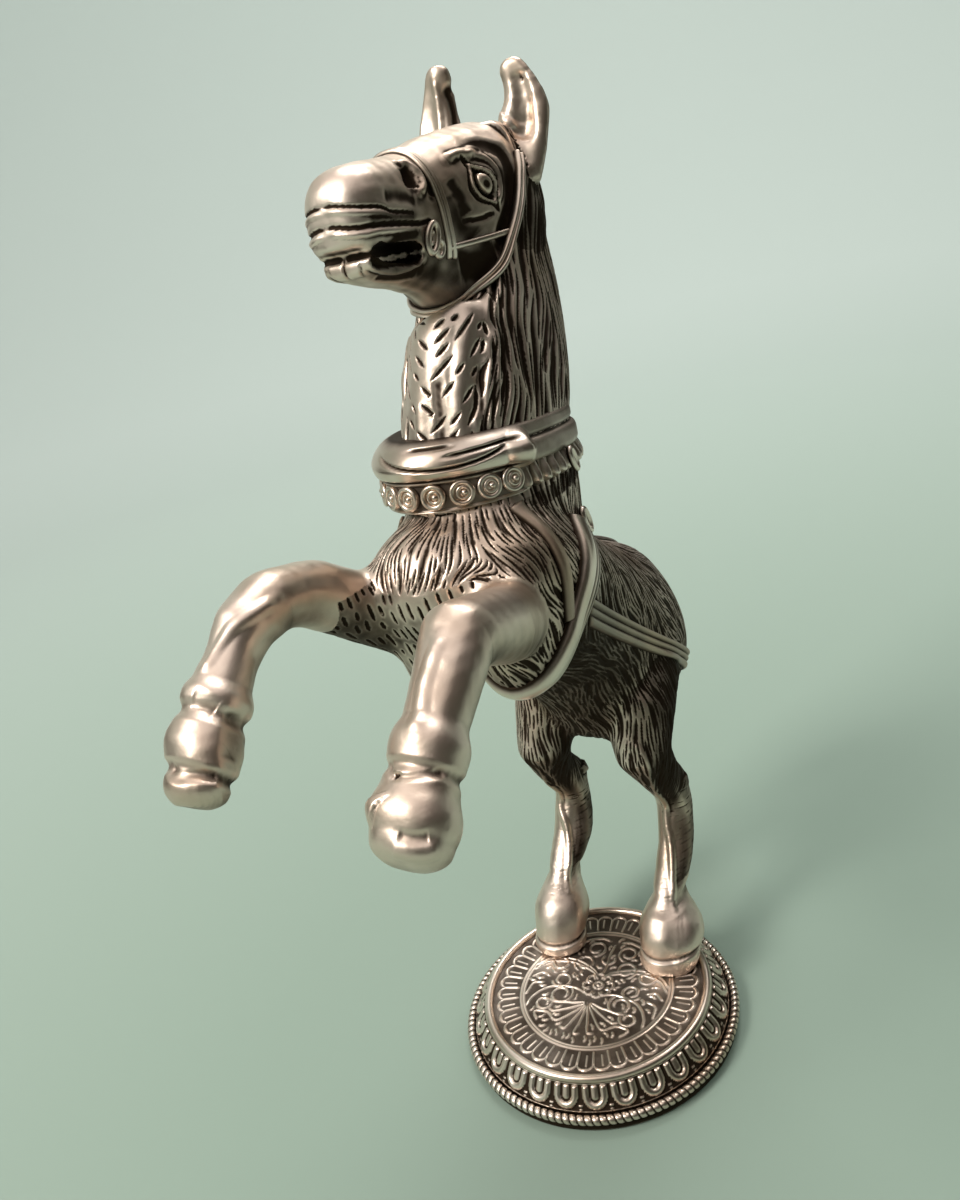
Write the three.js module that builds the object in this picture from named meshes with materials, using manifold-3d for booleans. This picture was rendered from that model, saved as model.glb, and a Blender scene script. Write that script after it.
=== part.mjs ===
// A rearing horse figurine in silvered cast metal, standing on a round chased base.
// Millimetres, +Z up. The horse faces -Y and its left side is +X. The origin is the
// centre of the underside.
import * as THREE from "three";
import { mergeVertices } from "three/addons/utils/BufferGeometryUtils.js";
import Module from "manifold-3d";

const wasm = await Module();
wasm.setup();

// Joints between castings
const SEAT = 0.3; // clearance between two castings, filled with solder on the real piece

// Harness, cast or formed as straps that lie on the body
const STRAP_THICKNESS = 1.5;
const GIRTH_WIDTH = 7.4;
const GIRTH_GROOVE = 1; // the dark line between the girth's two polished bands
const BREECHING_WIDTH = 7;
const CRUPPER_WIDTH = 4.6;
const BREAST_STRAP_WIDTH = 4.2;
const NOSEBAND_WIDTH = 3.6;
const THROAT_STRAP_WIDTH = 3.4;
const CHEEK_STRAP_WIDTH = 2.4;
const COLLAR_STAND = 4.4; // how far the rolled collar stands off the neck
const MEDALLION_RADIUS = 3;
const MEDALLION_COUNT = 7;
const MEDALLION_SPACING = 0.27; // radians round the neck from one to the next

// Base: a shallow stepped dish with an open underside
const BASE_RADIUS = 45.3;
const FOOT_RISE = 0.3; // the metal foot clears the shelf, because the pad stands proud
const LEDGE_HEIGHT = 2.3; // ledge that the rope rim is soldered on
const LEDGE_RADIUS = 43;
const SLOPE_FOOT = 5.4; // the sloping band of petals starts here and ends at SLOPE_HEAD
const SLOPE_HEAD = 11.8;
const SLOPE_HEAD_RADIUS = 38.4;
const FIELD_HEIGHT = 12.4; // the engraved face that the hooves stand on
const FIELD_THICKNESS = 2.4;
const BEAD_RADIUS = 1.3; // half the thickness of the round moulding that borders the field
const BEAD_SET_BACK = 0.2; // from the head of the slope to the moulding
const PETAL_COUNT = 28;
const PETAL_RELIEF = 0.8;
const ROPE_RADIUS = 1.5; // half the thickness of the twisted rope rim
const ROPE_TWISTS = 40;
const ROPE_RELIEF = 0.3;

// Felt pad in the open underside
const PAD_THICKNESS = 1.4;
const PAD_CLEARANCE = 0.3;
const PAD_LEDGE = 1.6; // width of the step inside the foot that the pad is glued to
const FOOT_WALL = 1.6; // metal between the pad's recess and the ledge

// Threaded studs, washers and nuts under the hind hooves
const STUD_RADIUS = 2;
const STUD_REACH = 6; // how far a stud goes up into its hoof
const STUD_CLEARANCE = 0.3;
const WASHER_RADIUS = 4.5;
const WASHER_THICKNESS = 0.9;
const NUT_RADIUS = 4; // across corners
const NUT_HEIGHT = 2.4;
const STUD_TAIL = 0.7; // stud left showing below its nut

// Stance: where the hind hooves stand, forward of the base's centre and to either side
const HOOF_FORWARD = -17;
const HOOF_SPREAD = 19.8;

const METAL = { color: 0xcdbfae, roughness: 0.32, metalness: 1 };
const POLISHED = { color: 0xd8ccbc, roughness: 0.22, metalness: 1 };
const STEEL = { color: 0xb4b6b8, roughness: 0.38, metalness: 1 };
const FELT = { color: 0x2c3a30, roughness: 0.95, metalness: 0 };

// A point given as forward, left and up on the horse.
const at = (forward, left, up) => new THREE.Vector3(left, -forward, up);

// three.js geometry to a solid, and back
function solid(geometry) {
  const bare = geometry.clone();
  bare.deleteAttribute("normal");
  bare.deleteAttribute("uv");
  const merged = mergeVertices(bare, 1e-4);
  return new wasm.Manifold(
    new wasm.Mesh({
      numProp: 3,
      vertProperties: new Float32Array(merged.attributes.position.array),
      triVerts: new Uint32Array(merged.index.array),
    }),
  );
}

function geometryOf(made) {
  const mesh = made.getMesh();
  const geometry = new THREE.BufferGeometry();
  geometry.setAttribute("position", new THREE.BufferAttribute(mesh.vertProperties, 3));
  geometry.setIndex(new THREE.BufferAttribute(mesh.triVerts, 1));
  return geometry;
}

const join = (...parts) => parts.reduce((sum, part) => sum.add(part));
const cut = (body, ...tools) => tools.reduce((left, tool) => left.subtract(tool), body);
const within = (body, region) => body.intersect(region);

// Closes equal rings of points into a solid. With poles the two ends are capped there,
// and without them the last ring meets the first again.
function skin(rings, poles = []) {
  const sides = rings[0].length;
  const index = [];
  const spans = poles.length ? rings.length - 1 : rings.length;
  for (let i = 0; i < spans; i += 1) {
    const after = (i + 1) % rings.length;
    for (let k = 0; k < sides; k += 1) {
      const next = (k + 1) % sides;
      const [a, b] = [i * sides + k, i * sides + next];
      const [c, d] = [after * sides + k, after * sides + next];
      index.push(a, b, c, b, d, c);
    }
  }
  if (poles.length) {
    const start = rings.length * sides;
    const last = (rings.length - 1) * sides;
    for (let k = 0; k < sides; k += 1) {
      const next = (k + 1) % sides;
      index.push(start, next, k);
      index.push(start + 1, last + k, last + next);
    }
  }
  const geometry = new THREE.BufferGeometry().setFromPoints([...rings.flat(), ...poles]);
  geometry.setIndex(index);
  return solid(geometry);
}

// Extra rows between stations, on a smooth curve through them
function smoothed(stations, steps) {
  const last = stations.length - 1;
  const rows = [];
  for (let i = 0; i < last; i += 1) {
    const [a, b] = [stations[Math.max(i - 1, 0)], stations[i]];
    const [c, d] = [stations[i + 1], stations[Math.min(i + 2, last)]];
    for (let s = 0; s < steps; s += 1) {
      const t = s / steps;
      const curve = (j) => {
        const bend = 2 * a[j] - 5 * b[j] + 4 * c[j] - d[j];
        const twist = 3 * b[j] - a[j] - 3 * c[j] + d[j];
        return b[j] + 0.5 * ((c[j] - a[j]) * t + bend * t * t + twist * t ** 3);
      };
      rows.push(b.map((_, j) => curve(j)));
    }
  }
  return [...rows, stations[last]];
}

// A loft through stations. Each station is
// [forward, left, up, half width, half depth above, half depth below, squareness].
// Its section lies square to the line of the stations, and is wide from side to side.
// Above is the back of a line that runs forward and the front of one that runs down.
// grow swells the loft on all sides, which gives the cutter for a neighbour's seat.
function loft(chosen, { steps = 2, sides = 20, grow = 0 } = {}) {
  const stations = chosen.map((station) => (station.length < 7 ? [...station, 2] : station));
  const rows = smoothed(stations, steps);
  const centres = rows.map(([forward, left, up]) => at(forward, left, up));
  const heading = (i) => {
    const [next, before] = [centres[Math.min(i + 1, rows.length - 1)], centres[Math.max(i - 1, 0)]];
    return next.clone().sub(before).normalize();
  };
  const sideways = at(0, 1, 0);
  const rings = rows.map(([, , , width, above, below, square], i) => {
    const along = heading(i);
    const side = sideways.clone().addScaledVector(along, -sideways.dot(along)).normalize();
    const over = along.clone().cross(side).normalize();
    return Array.from({ length: sides }, (_, k) => {
      const turn = (k / sides) * Math.PI * 2;
      const [c, s] = [Math.cos(turn), Math.sin(turn)];
      const depth = Math.max(s > 0 ? above : below, 0.4) + grow;
      const x = (Math.max(width, 0.4) + grow) * Math.sign(c) * Math.abs(c) ** (2 / square);
      const y = depth * Math.sign(s) * Math.abs(s) ** (2 / square);
      return centres[i].clone().addScaledVector(side, x).addScaledVector(over, y);
    });
  });
  const end = rows.length - 1;
  const poles = [
    centres[0].clone().addScaledVector(heading(0), -grow - 0.2),
    centres[end].clone().addScaledVector(heading(end), grow + 0.2),
  ];
  return skin(rings, poles);
}

// A smooth ball, stretched and tilted in the plane that the horse walks in
function ball(forward, left, up, [along, wide, high], tilt = 0, detail = 11) {
  const geometry = new THREE.SphereGeometry(1, detail, Math.round(detail * 0.7));
  geometry.scale(wide, along, high);
  geometry.rotateX(-tilt);
  geometry.translate(left, -forward, up);
  return solid(geometry);
}

// A flat slab with its middle plane through centre. Straps are cut with it.
function slab(centre, normal, thickness, reach = 400) {
  const geometry = new THREE.BoxGeometry(reach, reach, thickness);
  const turn = new THREE.Quaternion().setFromUnitVectors(at(0, 0, 1), normal.clone().normalize());
  geometry.applyQuaternion(turn);
  geometry.translate(centre.x, centre.y, centre.z);
  return solid(geometry);
}

// The plane through a line in the horse's mid-plane, square to that mid-plane. Its normal
// points up from a line that runs forward, and forward from one that runs down.
function planeThrough([forwardA, upA], [forwardB, upB]) {
  const run = at(forwardB - forwardA, 0, upB - upA).normalize();
  const normal = run.clone().cross(at(0, 1, 0)).normalize();
  return { centre: at((forwardA + forwardB) / 2, 0, (upA + upB) / 2), normal };
}

// A round pin between two heights
function pin(x, y, low, high, radius, sides = 16) {
  const geometry = new THREE.CylinderGeometry(radius, radius, high - low, sides);
  geometry.rotateX(Math.PI / 2);
  geometry.translate(x, y, (low + high) / 2);
  return solid(geometry);
}

// A flat outline of [forward, up] points, extruded from side to side
function sidePrism(outline, halfWidth) {
  const shape = new THREE.Shape(outline.map(([forward, up]) => new THREE.Vector2(-forward, up)));
  const geometry = new THREE.ExtrudeGeometry(shape, { depth: 2 * halfWidth, bevelEnabled: false });
  geometry.translate(0, 0, -halfWidth);
  geometry.rotateY(Math.PI / 2);
  geometry.rotateX(Math.PI / 2);
  return solid(geometry);
}

// Stations below are measured from the face that the hooves stand on.

// Trunk, shoulders and breast
const TRUNK = [
  [-92, 0, 73, 7, 6, 6],
  [-88, 0, 79, 17, 15, 17],
  [-77, 0, 90, 23, 26, 30],
  [-61, 0, 105, 23.5, 31, 40],
  [-42, 0, 122, 23.5, 23, 34],
  [-20, 0, 140, 25, 20, 31],
  [-2, -0.5, 152, 27.5, 23, 29],
  [12, -2, 158, 28, 21, 26],
  [23, -4, 160, 24, 15, 21],
  [31, -5, 160, 15, 8, 13],
];
const SHOULDER = { forward: 11, left: 12, up: 148, size: [21, 14, 25], tilt: 0.6 };
const BREAST = { forward: 14, left: -5.5, up: 156, size: [25, 24, 20], tilt: 0.5 };
function trunk(grow = 0) {
  const { forward, left, up, size, tilt } = SHOULDER;
  const swell = (radii) => radii.map((radius) => radius + grow);
  const shoulders = [1, -1].map((side) => ball(forward, side * left, up, swell(size), tilt));
  const breast = ball(BREAST.forward, BREAST.left, BREAST.up, swell(BREAST.size), BREAST.tilt, 12);
  return join(loft(TRUNK, { sides: 20, grow }), ...shoulders, breast);
}

// Neck, from inside the withers up to the poll
const NECK = [
  [-12, -2, 155, 22, 24, 30],
  [-15, -2.5, 173, 23, 26, 34],
  [-19, -2, 190, 20.5, 27, 34],
  [-25, -0.5, 209, 17.5, 30, 33],
  [-31, 0, 227, 14.4, 30, 28],
  [-36, 0, 243, 11, 26, 20],
  [-38, 0, 255, 8, 18, 12],
];
const neck = (grow = 0) => loft(NECK, { sides: 16, grow });
const torso = (grow = 0) => join(trunk(grow), neck(grow));

// The mane lies on the neck behind this line, as a thicker coat
const MANE_EDGE = planeThrough([-8, 224], [9, 196]);
const MANE_THICKNESS = 1.3;
const JAW_CLEARANCE = 6;

// Head, in its own frame: forward runs from the poll to the muzzle
const HEAD_PLACE = at(-40, 0, 244);
const HEAD_YAW = -0.17; // turned a little to the horse's right
const HEAD_PITCH = 0.13; // muzzle carried high
const HEAD = [
  [-14, 0, 0, 7, 8, 8],
  [-10, 0, 0, 12, 17, 19],
  [2, 0, 0, 16, 22.5, 34, 2.3],
  [14, 0, 0.5, 16, 21.5, 35, 2.4],
  [26, 0, 1, 14, 18, 29, 2.3],
  [37, 0, 0, 11.6, 14.8, 19, 2.2],
  [48, 0, -0.5, 11.3, 13.5, 15.5, 2.5],
  [56, 0, -0.5, 10.8, 12.5, 14, 2.7],
  [61.4, 0, -0.5, 8.6, 10, 11, 2.7],
  [63.8, 0, -0.5, 5, 6, 6],
];
// Outline of the open mouth, seen from the side. It also sets the chin back.
const MOUTH = [
  [40.5, -9.5], [44.5, -6.6], [54, -6.8], [75, -6.8], [75, -22],
  [59.6, -22], [59.6, -8], [54, -10.4], [45, -11.2],
];
const EYE = { forward: 18.6, left: 13.6, up: 6.1, size: [4.4, 2.6, 3.6] };
const NOSTRIL = { forward: 44.8, left: 11, up: 7.8, size: [2.6, 2.4, 2.4] };
function posed(made) {
  const turn = new THREE.Euler(-HEAD_PITCH, 0, HEAD_YAW, "ZXY");
  const pose = new THREE.Matrix4().makeRotationFromEuler(turn).setPosition(HEAD_PLACE);
  return solid(geometryOf(made).applyMatrix4(pose));
}
const headLoft = (grow = 0) => loft(HEAD, { sides: 18, grow });
const onBothSides = ({ forward, left, up, size }) =>
  [1, -1].map((side) => ball(forward, side * left, up, size, 0, 10));

// Ears stand on the poll and curve in at their tips. The right one sits a little higher.
const EAR_LEFT = [
  [-2, 9, 8, 8.5, 4, 4],
  [-4, 11.5, 16, 7.6, 3.4, 3.4],
  [-6, 13.8, 24, 5.6, 2.8, 2.8],
  [-6, 13, 31, 4.2, 2.2, 2.2],
  [-5.2, 11.3, 35, 3.4, 1.9, 1.9],
  [-5, 10.7, 36.6, 1.8, 1.2, 1.2],
];
const EAR_RIGHT = [
  [-2, -13, 11, 6, 3.4, 3.4],
  [-4, -16, 19, 5.8, 3, 3],
  [-6, -17, 27, 5, 2.6, 2.6],
  [-6, -16, 34, 3.8, 2.2, 2.2],
  [-5.1, -14.6, 39.6, 2.8, 1.9, 1.9],
  [-5, -14.3, 41.2, 1.5, 1.1, 1.1],
];
const earStations = (side) => (side > 0 ? EAR_LEFT : EAR_RIGHT);
const ear = (side, grow = 0) => loft(earStations(side), { sides: 10, grow });
// The hollow of an ear is a thinner ear set forward and outward.
const hollow = (side) =>
  loft(
    earStations(side).slice(1).map(([forward, left, up, width]) => [
      forward + 2.6, left + side * 1.4, up + 0.6, width * 0.55, 1.4, 1.4,
    ]),
    { sides: 8 },
  );

// Legs, from the shoulder or hip down to the toe
const FORELEG_LEFT = [
  [8, 10, 148, 7, 8, 8],
  [20, 14, 150, 8.5, 10, 10],
  [36, 20, 155, 9, 10, 10],
  [50, 25, 161, 8.8, 9.5, 9],
  [61, 27, 165, 8.8, 8.5, 8.5],
  [69, 27, 160, 8, 7.5, 7.5],
  [79, 26, 152.5, 7.2, 7.2, 7],
  [86, 25.6, 147, 8.8, 8.5, 8.5],
  [90.5, 25.2, 143.5, 7.8, 7.2, 7.4],
  [95, 25, 139.5, 10, 8.8, 9],
  [99, 25, 136.5, 8.8, 7.4, 7.8],
  [101, 25, 135, 5, 4, 4.4],
];
const FORELEG_RIGHT = [
  [4, -14, 143, 10, 12, 12],
  [16, -19, 147, 12, 12, 12],
  [30, -25, 156, 9.5, 10, 9.5],
  [46, -28, 169, 8.5, 9, 9],
  [56, -28, 172, 8.5, 8, 8.5],
  [66, -28, 169, 7.6, 7.6, 7.4],
  [78, -28, 161, 7, 7.2, 7],
  [85, -28.5, 155.5, 8.6, 8.4, 8.6],
  [89.5, -29, 152, 7.8, 7.2, 7.4],
  [94, -29.5, 147.5, 9.8, 8.8, 9],
  [98.5, -30, 144, 8.4, 7, 7.4],
  [100.5, -30, 142, 4.8, 4, 4.4],
];
// The left thigh is tucked in a little more than the right one.
const THIGH_TUCK = 2;
const hindStations = (side) => {
  const tuck = side > 0 ? THIGH_TUCK : 0;
  return [
    [-66, side * 11, 99, 9, 14, 13],
    [-56, side * (15 - tuck / 2), 91, 12, 18, 14],
    [-43, side * (17.5 - tuck), 82, 12, 16, 8],
    [-37, side * (19.2 - tuck), 71, 9.3, 12, 6],
    [-42, side * (20 - tuck / 2), 60, 6.6, 8.5, 6.5],
    [-48, side * 19, 50, 6.2, 7, 8.5],
    [-49, side * 19.5, 42, 6, 6.6, 8],
    [-41, side * 20, 30, 5.5, 6, 6.3],
    [-30, side * 20, 20, 5.6, 6, 6.3],
    [HOOF_FORWARD - 5, side * HOOF_SPREAD, 12, 8.2, 8, 8.4],
    [HOOF_FORWARD - 1.5, side * HOOF_SPREAD, 7, 7.8, 7.6, 7.8],
    [HOOF_FORWARD, side * HOOF_SPREAD, 2, 9.2, 9, 9.2],
    [HOOF_FORWARD, side * HOOF_SPREAD, -2, 9.2, 9, 9.2],
  ];
};
const hindLeg = (side, grow = 0) => loft(hindStations(side), { steps: 1, sides: 14, grow });
const foreLeg = (side, grow = 0) =>
  loft(side > 0 ? FORELEG_LEFT : FORELEG_RIGHT, { steps: 1, sides: 14, grow });

// Tail, hanging close behind the rump
const TAIL = [
  [-82, 0, 100, 4, 4, 4],
  [-94, 0, 94, 5, 5, 5],
  [-101, 0, 82, 7, 6, 6],
  [-103, 0, 66, 8, 6.5, 6],
  [-99, 0, 50, 6.5, 5.5, 5],
  [-95, 0, 40, 3, 3, 2.6],
];
const tail = (grow = 0) => loft(TAIL, { sides: 12, grow });

// The collar lies on this body, which leans to the horse's right with the base of its neck.
const COLLAR_BODY = [
  [-14, -4, 160, 22.5, 30, 34],
  [-15, -4, 176, 22, 29, 34],
  [-17, -4, 190, 21, 28, 34.5],
  [-21, -3.5, 204, 19, 28, 33],
];
const collarBody = (grow = 0) => loft(COLLAR_BODY, { steps: 1, sides: 24, grow });

// Planes that the harness lies in, given by lines in the mid-plane
const GIRTH_PLANE = planeThrough([-31, 176.5], [20, 127.5]);
const COLLAR_ROLL_PLANE = planeThrough([-57, 183], [14, 191]);
const COLLAR_ROW_PLANE = planeThrough([-57, 176.5], [14, 182.2]);
const BREECHING_PLANE = planeThrough([-12, 132], [-77, 84]);
// The right breast strap runs further back, clear of the higher foreleg.
const BREAST_STRAP_PLANES = [planeThrough([9, 178], [14, 140]), planeThrough([9, 178], [-3, 150])];
const NOSEBAND_PLANE = planeThrough([41, 13], [32, -14]);
const THROAT_PLANE = planeThrough([0, 10], [26, -22]);
const CHEEK_PLANE = planeThrough([40, -10], [10, -6]);
const TERRET = { forward: -22, left: 19.5, up: 166, size: [3.2, 3, 4.2] };
const ROSETTE = { forward: 38.6, left: 10.6, up: -9, size: [2.8, 3, 4] };
const ROLL_WIDTH = 9.5;
const ROW_WIDTH = 8.4;
const ROW_INSET = 1.4; // the row stands this much less than the roll

// A strap is the swollen casting cut to a slab, less the casting and its seat.
const strap = (casting, plane, width, stand = STRAP_THICKNESS, seat = SEAT) =>
  cut(within(casting(stand), slab(plane.centre, plane.normal, width)), casting(seat));
// The room that a strap and its seat take up in its neighbours
const strapRoom = (casting, plane, width, stand = STRAP_THICKNESS) =>
  within(casting(stand + SEAT), slab(plane.centre, plane.normal, width + 2 * SEAT));
// A box between two corners given as forward, left and up
function chunk([forwardA, leftA, upA], [forwardB, leftB, upB]) {
  const size = [Math.abs(leftB - leftA), Math.abs(forwardB - forwardA), Math.abs(upB - upA)];
  const geometry = new THREE.BoxGeometry(...size);
  const middle = at((forwardA + forwardB) / 2, (leftA + leftB) / 2, (upA + upB) / 2);
  geometry.translate(middle.x, middle.y, middle.z);
  return solid(geometry);
}
// Everything on the side of a plane that its normal points away from
const behind = ({ centre, normal }, shift = 0) =>
  slab(centre.clone().addScaledVector(normal, shift - 150), normal, 300);
// Everything on the side that it points to
const ahead = ({ centre, normal }) => slab(centre.clone().addScaledVector(normal, 150), normal, 300);

const SIDES = [["left", 1], ["right", -1]];
const figurine = new THREE.Group();
const horse = new THREE.Group();
horse.position.z = FIELD_HEIGHT + SEAT;
figurine.add(horse);
function place(group, name, made, look = METAL) {
  const mesh = new THREE.Mesh(geometryOf(made), new THREE.MeshStandardMaterial(look));
  mesh.name = name;
  group.add(mesh);
}

// Castings of the horse
const trunkSeat = trunk(SEAT);
const behindGirth = behind(GIRTH_PLANE);
place(horse, "forehand", cut(trunk(), behind(GIRTH_PLANE, SEAT / 2)));
place(horse, "hindquarters", within(trunk(), behind(GIRTH_PLANE, -SEAT / 2)));

const rollRoom = strapRoom(collarBody, COLLAR_ROLL_PLANE, ROLL_WIDTH, COLLAR_STAND);
const rowRoom = strapRoom(collarBody, COLLAR_ROW_PLANE, ROW_WIDTH, COLLAR_STAND);
const inHead = ({ centre, normal }) => {
  const turn = new THREE.Euler(-HEAD_PITCH, 0, HEAD_YAW, "ZXY");
  const moved = centre.clone().applyEuler(turn).add(HEAD_PLACE);
  return { centre: moved, normal: normal.clone().applyEuler(turn) };
};
const face = (grow = 0) => posed(headLoft(grow));
const throatRoom = strapRoom(face, inHead(THROAT_PLANE), THROAT_STRAP_WIDTH);
const noseRoom = strapRoom(face, inHead(NOSEBAND_PLANE), NOSEBAND_WIDTH);
const noseband = strap(face, inHead(NOSEBAND_PLANE), NOSEBAND_WIDTH);
const earRooms = [posed(ear(1, SEAT)), posed(ear(-1, SEAT))];
const maneCoat = within(neck(MANE_THICKNESS), behind(MANE_EDGE));
const mane = cut(within(maneCoat, ahead(COLLAR_ROLL_PLANE)), rollRoom);
const skull = cut(join(headLoft(), ...onBothSides(EYE)), sidePrism(MOUTH, 20), ...onBothSides(NOSTRIL));
// The neck is hollowed behind the jaw, so the cheeks stand clear in front of the throat strap.
const jawRoom = within(face(JAW_CLEARANCE), ahead(inHead(THROAT_PLANE)));
place(horse, "neck", cut(join(neck(), mane), trunkSeat, face(SEAT), throatRoom, noseRoom, jawRoom));
place(horse, "head", cut(posed(skull), ...earRooms));
place(horse, "tail", cut(tail(), trunkSeat));
SIDES.forEach(([name, side]) => {
  place(horse, `ear_${name}`, posed(cut(ear(side), hollow(side))));
  place(horse, `foreleg_${name}`, cut(foreLeg(side), trunkSeat));
  const sole = slab(at(0, 0, -50), at(0, 0, 1), 100);
  const bore = pin(side * HOOF_SPREAD, -HOOF_FORWARD, -1, STUD_REACH, STUD_RADIUS + STUD_CLEARANCE);
  place(horse, `hind_leg_${name}`, cut(hindLeg(side), trunkSeat, sole, bore));
});

// Collar: a rolled upper band over a row of medallions
const layer = (casting, { centre, normal }, width, stand) =>
  within(casting(stand), slab(centre, normal, width));
const roll = layer(collarBody, COLLAR_ROLL_PLANE, ROLL_WIDTH, COLLAR_STAND);
const row = layer(collarBody, COLLAR_ROW_PLANE, ROW_WIDTH, COLLAR_STAND - ROW_INSET);
// A medallion stands on the row, facing away from the neck's axis.
function medallion(turn) {
  const { normal } = COLLAR_ROW_PLANE;
  const facing = at(Math.cos(turn), Math.sin(turn), 0);
  facing.addScaledVector(normal, -facing.dot(normal)).normalize();
  const bothFaces = new THREE.MeshBasicMaterial({ side: THREE.DoubleSide });
  const target = new THREE.Mesh(geometryOf(row), bothFaces);
  target.geometry.computeBoundingBox();
  const middle = target.geometry.boundingBox.getCenter(new THREE.Vector3());
  const surface = new THREE.Raycaster(middle, facing).intersectObject(target).pop().point;
  const geometry = new THREE.CylinderGeometry(MEDALLION_RADIUS, MEDALLION_RADIUS - 0.7, 2.4, 10);
  geometry.applyQuaternion(new THREE.Quaternion().setFromUnitVectors(at(1, 0, 0), facing));
  geometry.translate(surface.x, surface.y, surface.z);
  return solid(geometry);
}
const medallions = Array.from({ length: MEDALLION_COUNT }, (_, i) =>
  medallion((i - (MEDALLION_COUNT - 1) / 2) * MEDALLION_SPACING),
);
const collar = join(roll, row, ...medallions);
place(horse, "collar", cut(collar, torso(SEAT)), POLISHED);

// Girth with a dark groove between its two bands, and a terret boss each side of the withers
const underCollar = chunk([-100, -60, 60], [60, 60, 176]);
const groove = cut(
  layer(torso, GIRTH_PLANE, GIRTH_GROOVE, 9),
  torso(STRAP_THICKNESS - 0.6),
);
const girthRoom = strapRoom(torso, GIRTH_PLANE, GIRTH_WIDTH);
const terrets = onBothSides(TERRET);
const bands = cut(layer(torso, GIRTH_PLANE, GIRTH_WIDTH, STRAP_THICKNESS), groove);
const girth = within(join(bands, ...terrets), underCollar);
const legRooms = SIDES.map(([, side]) => foreLeg(side, SEAT));
place(horse, "girth", cut(girth, torso(SEAT), rowRoom, rollRoom, ...legRooms), POLISHED);

// Crupper along the spine, from the girth to the tail
const tailRoom = tail(SEAT);
const spine = { centre: at(0, 0, 0), normal: at(0, 1, 0) };
const back = chunk([-99, -20, 104], [-20, 20, 172]);
const crupper = within(strap(torso, spine, CRUPPER_WIDTH), back);
place(horse, "crupper", cut(within(crupper, behindGirth), girthRoom, tailRoom), POLISHED);

// Breeching along the flanks and breast straps from collar to girth
SIDES.forEach(([name, side], i) => {
  const hip = (grow = 0) => join(trunk(grow), hindLeg(side, grow));
  const flank = chunk([-200, (CRUPPER_WIDTH / 2 + SEAT) * side, 40], [10, 90 * side, 200]);
  const breeching = within(within(strap(hip, BREECHING_PLANE, BREECHING_WIDTH), flank), behindGirth);
  place(horse, `breeching_${name}`, cut(breeching, girthRoom, tailRoom), POLISHED);
  const shoulder = chunk([-8, 12 * side, 128], [26, 90 * side, 180]);
  const breast = within(strap(torso, BREAST_STRAP_PLANES[i], BREAST_STRAP_WIDTH), shoulder);
  const rooms = [behindGirth, girthRoom, rowRoom, rollRoom, foreLeg(side, SEAT)];
  place(horse, `breast_strap_${name}`, cut(breast, ...rooms), POLISHED);
});

// Halter: noseband, throat strap behind the cheeks, cheek straps and a ring each side
const throat = strap(face, inHead(THROAT_PLANE), THROAT_STRAP_WIDTH);
const belowEars = posed(chunk([-60, -40, -60], [60, 40, 12]));
place(horse, "throat_strap", cut(within(throat, belowEars), ...earRooms), POLISHED);
place(horse, "noseband", cut(within(noseband, ahead(inHead(THROAT_PLANE))), throatRoom), POLISHED);
SIDES.forEach(([name, side]) => {
  const cheek = within(
    strap(face, inHead(CHEEK_PLANE), CHEEK_STRAP_WIDTH),
    posed(chunk([12, 4 * side, -30], [34, 40 * side, 20])),
  );
  place(horse, `cheek_strap_${name}`, cut(cheek, noseRoom, throatRoom), POLISHED);
  const boss = ball(ROSETTE.forward, side * ROSETTE.left, ROSETTE.up, ROSETTE.size, 0, 12);
  place(horse, `rosette_${name}`, cut(posed(boss), face(SEAT), noseRoom), POLISHED);
});

// Base
const beadRing = SLOPE_HEAD_RADIUS - BEAD_SET_BACK - BEAD_RADIUS;
const fieldRadius = beadRing - BEAD_RADIUS;
function turned(profile, sides, shape = (radius, height) => [radius, height]) {
  const heights = profile.map(([, height]) => height);
  const rings = profile.map((point, row) =>
    Array.from({ length: sides }, (_, k) => {
      const [radius, height] = shape(...point, k, row);
      const turn = (k / sides) * Math.PI * 2;
      return new THREE.Vector3(radius * Math.cos(turn), radius * Math.sin(turn), height);
    }),
  );
  const poles = [heights[0], heights[heights.length - 1]].map((z) => new THREE.Vector3(0, 0, z));
  return skin(rings, poles);
}
const slopeRun = [LEDGE_RADIUS - SLOPE_HEAD_RADIUS, SLOPE_HEAD - SLOPE_FOOT];
const slopeLength = Math.hypot(...slopeRun);
const onSlope = (t) => [LEDGE_RADIUS - slopeRun[0] * t, SLOPE_FOOT + slopeRun[1] * t];
const bead = Array.from({ length: 5 }, (_, i) => {
  const turn = (i / 4) * Math.PI;
  return [beadRing + BEAD_RADIUS * Math.cos(turn), FIELD_HEIGHT + BEAD_RADIUS * Math.sin(turn)];
});
const PETAL_ROWS = [[0.1, 0], [0.26, 0.9], [0.6, 1], [0.88, 0.6]]; // [way up the slope, share of relief]
const outer = [
  [BASE_RADIUS, FOOT_RISE],
  [BASE_RADIUS - 0.3, LEDGE_HEIGHT],
  [LEDGE_RADIUS, LEDGE_HEIGHT],
  [LEDGE_RADIUS, SLOPE_FOOT],
  ...PETAL_ROWS.map(([t]) => onSlope(t)),
  [SLOPE_HEAD_RADIUS, SLOPE_HEAD],
  ...bead,
];
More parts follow.
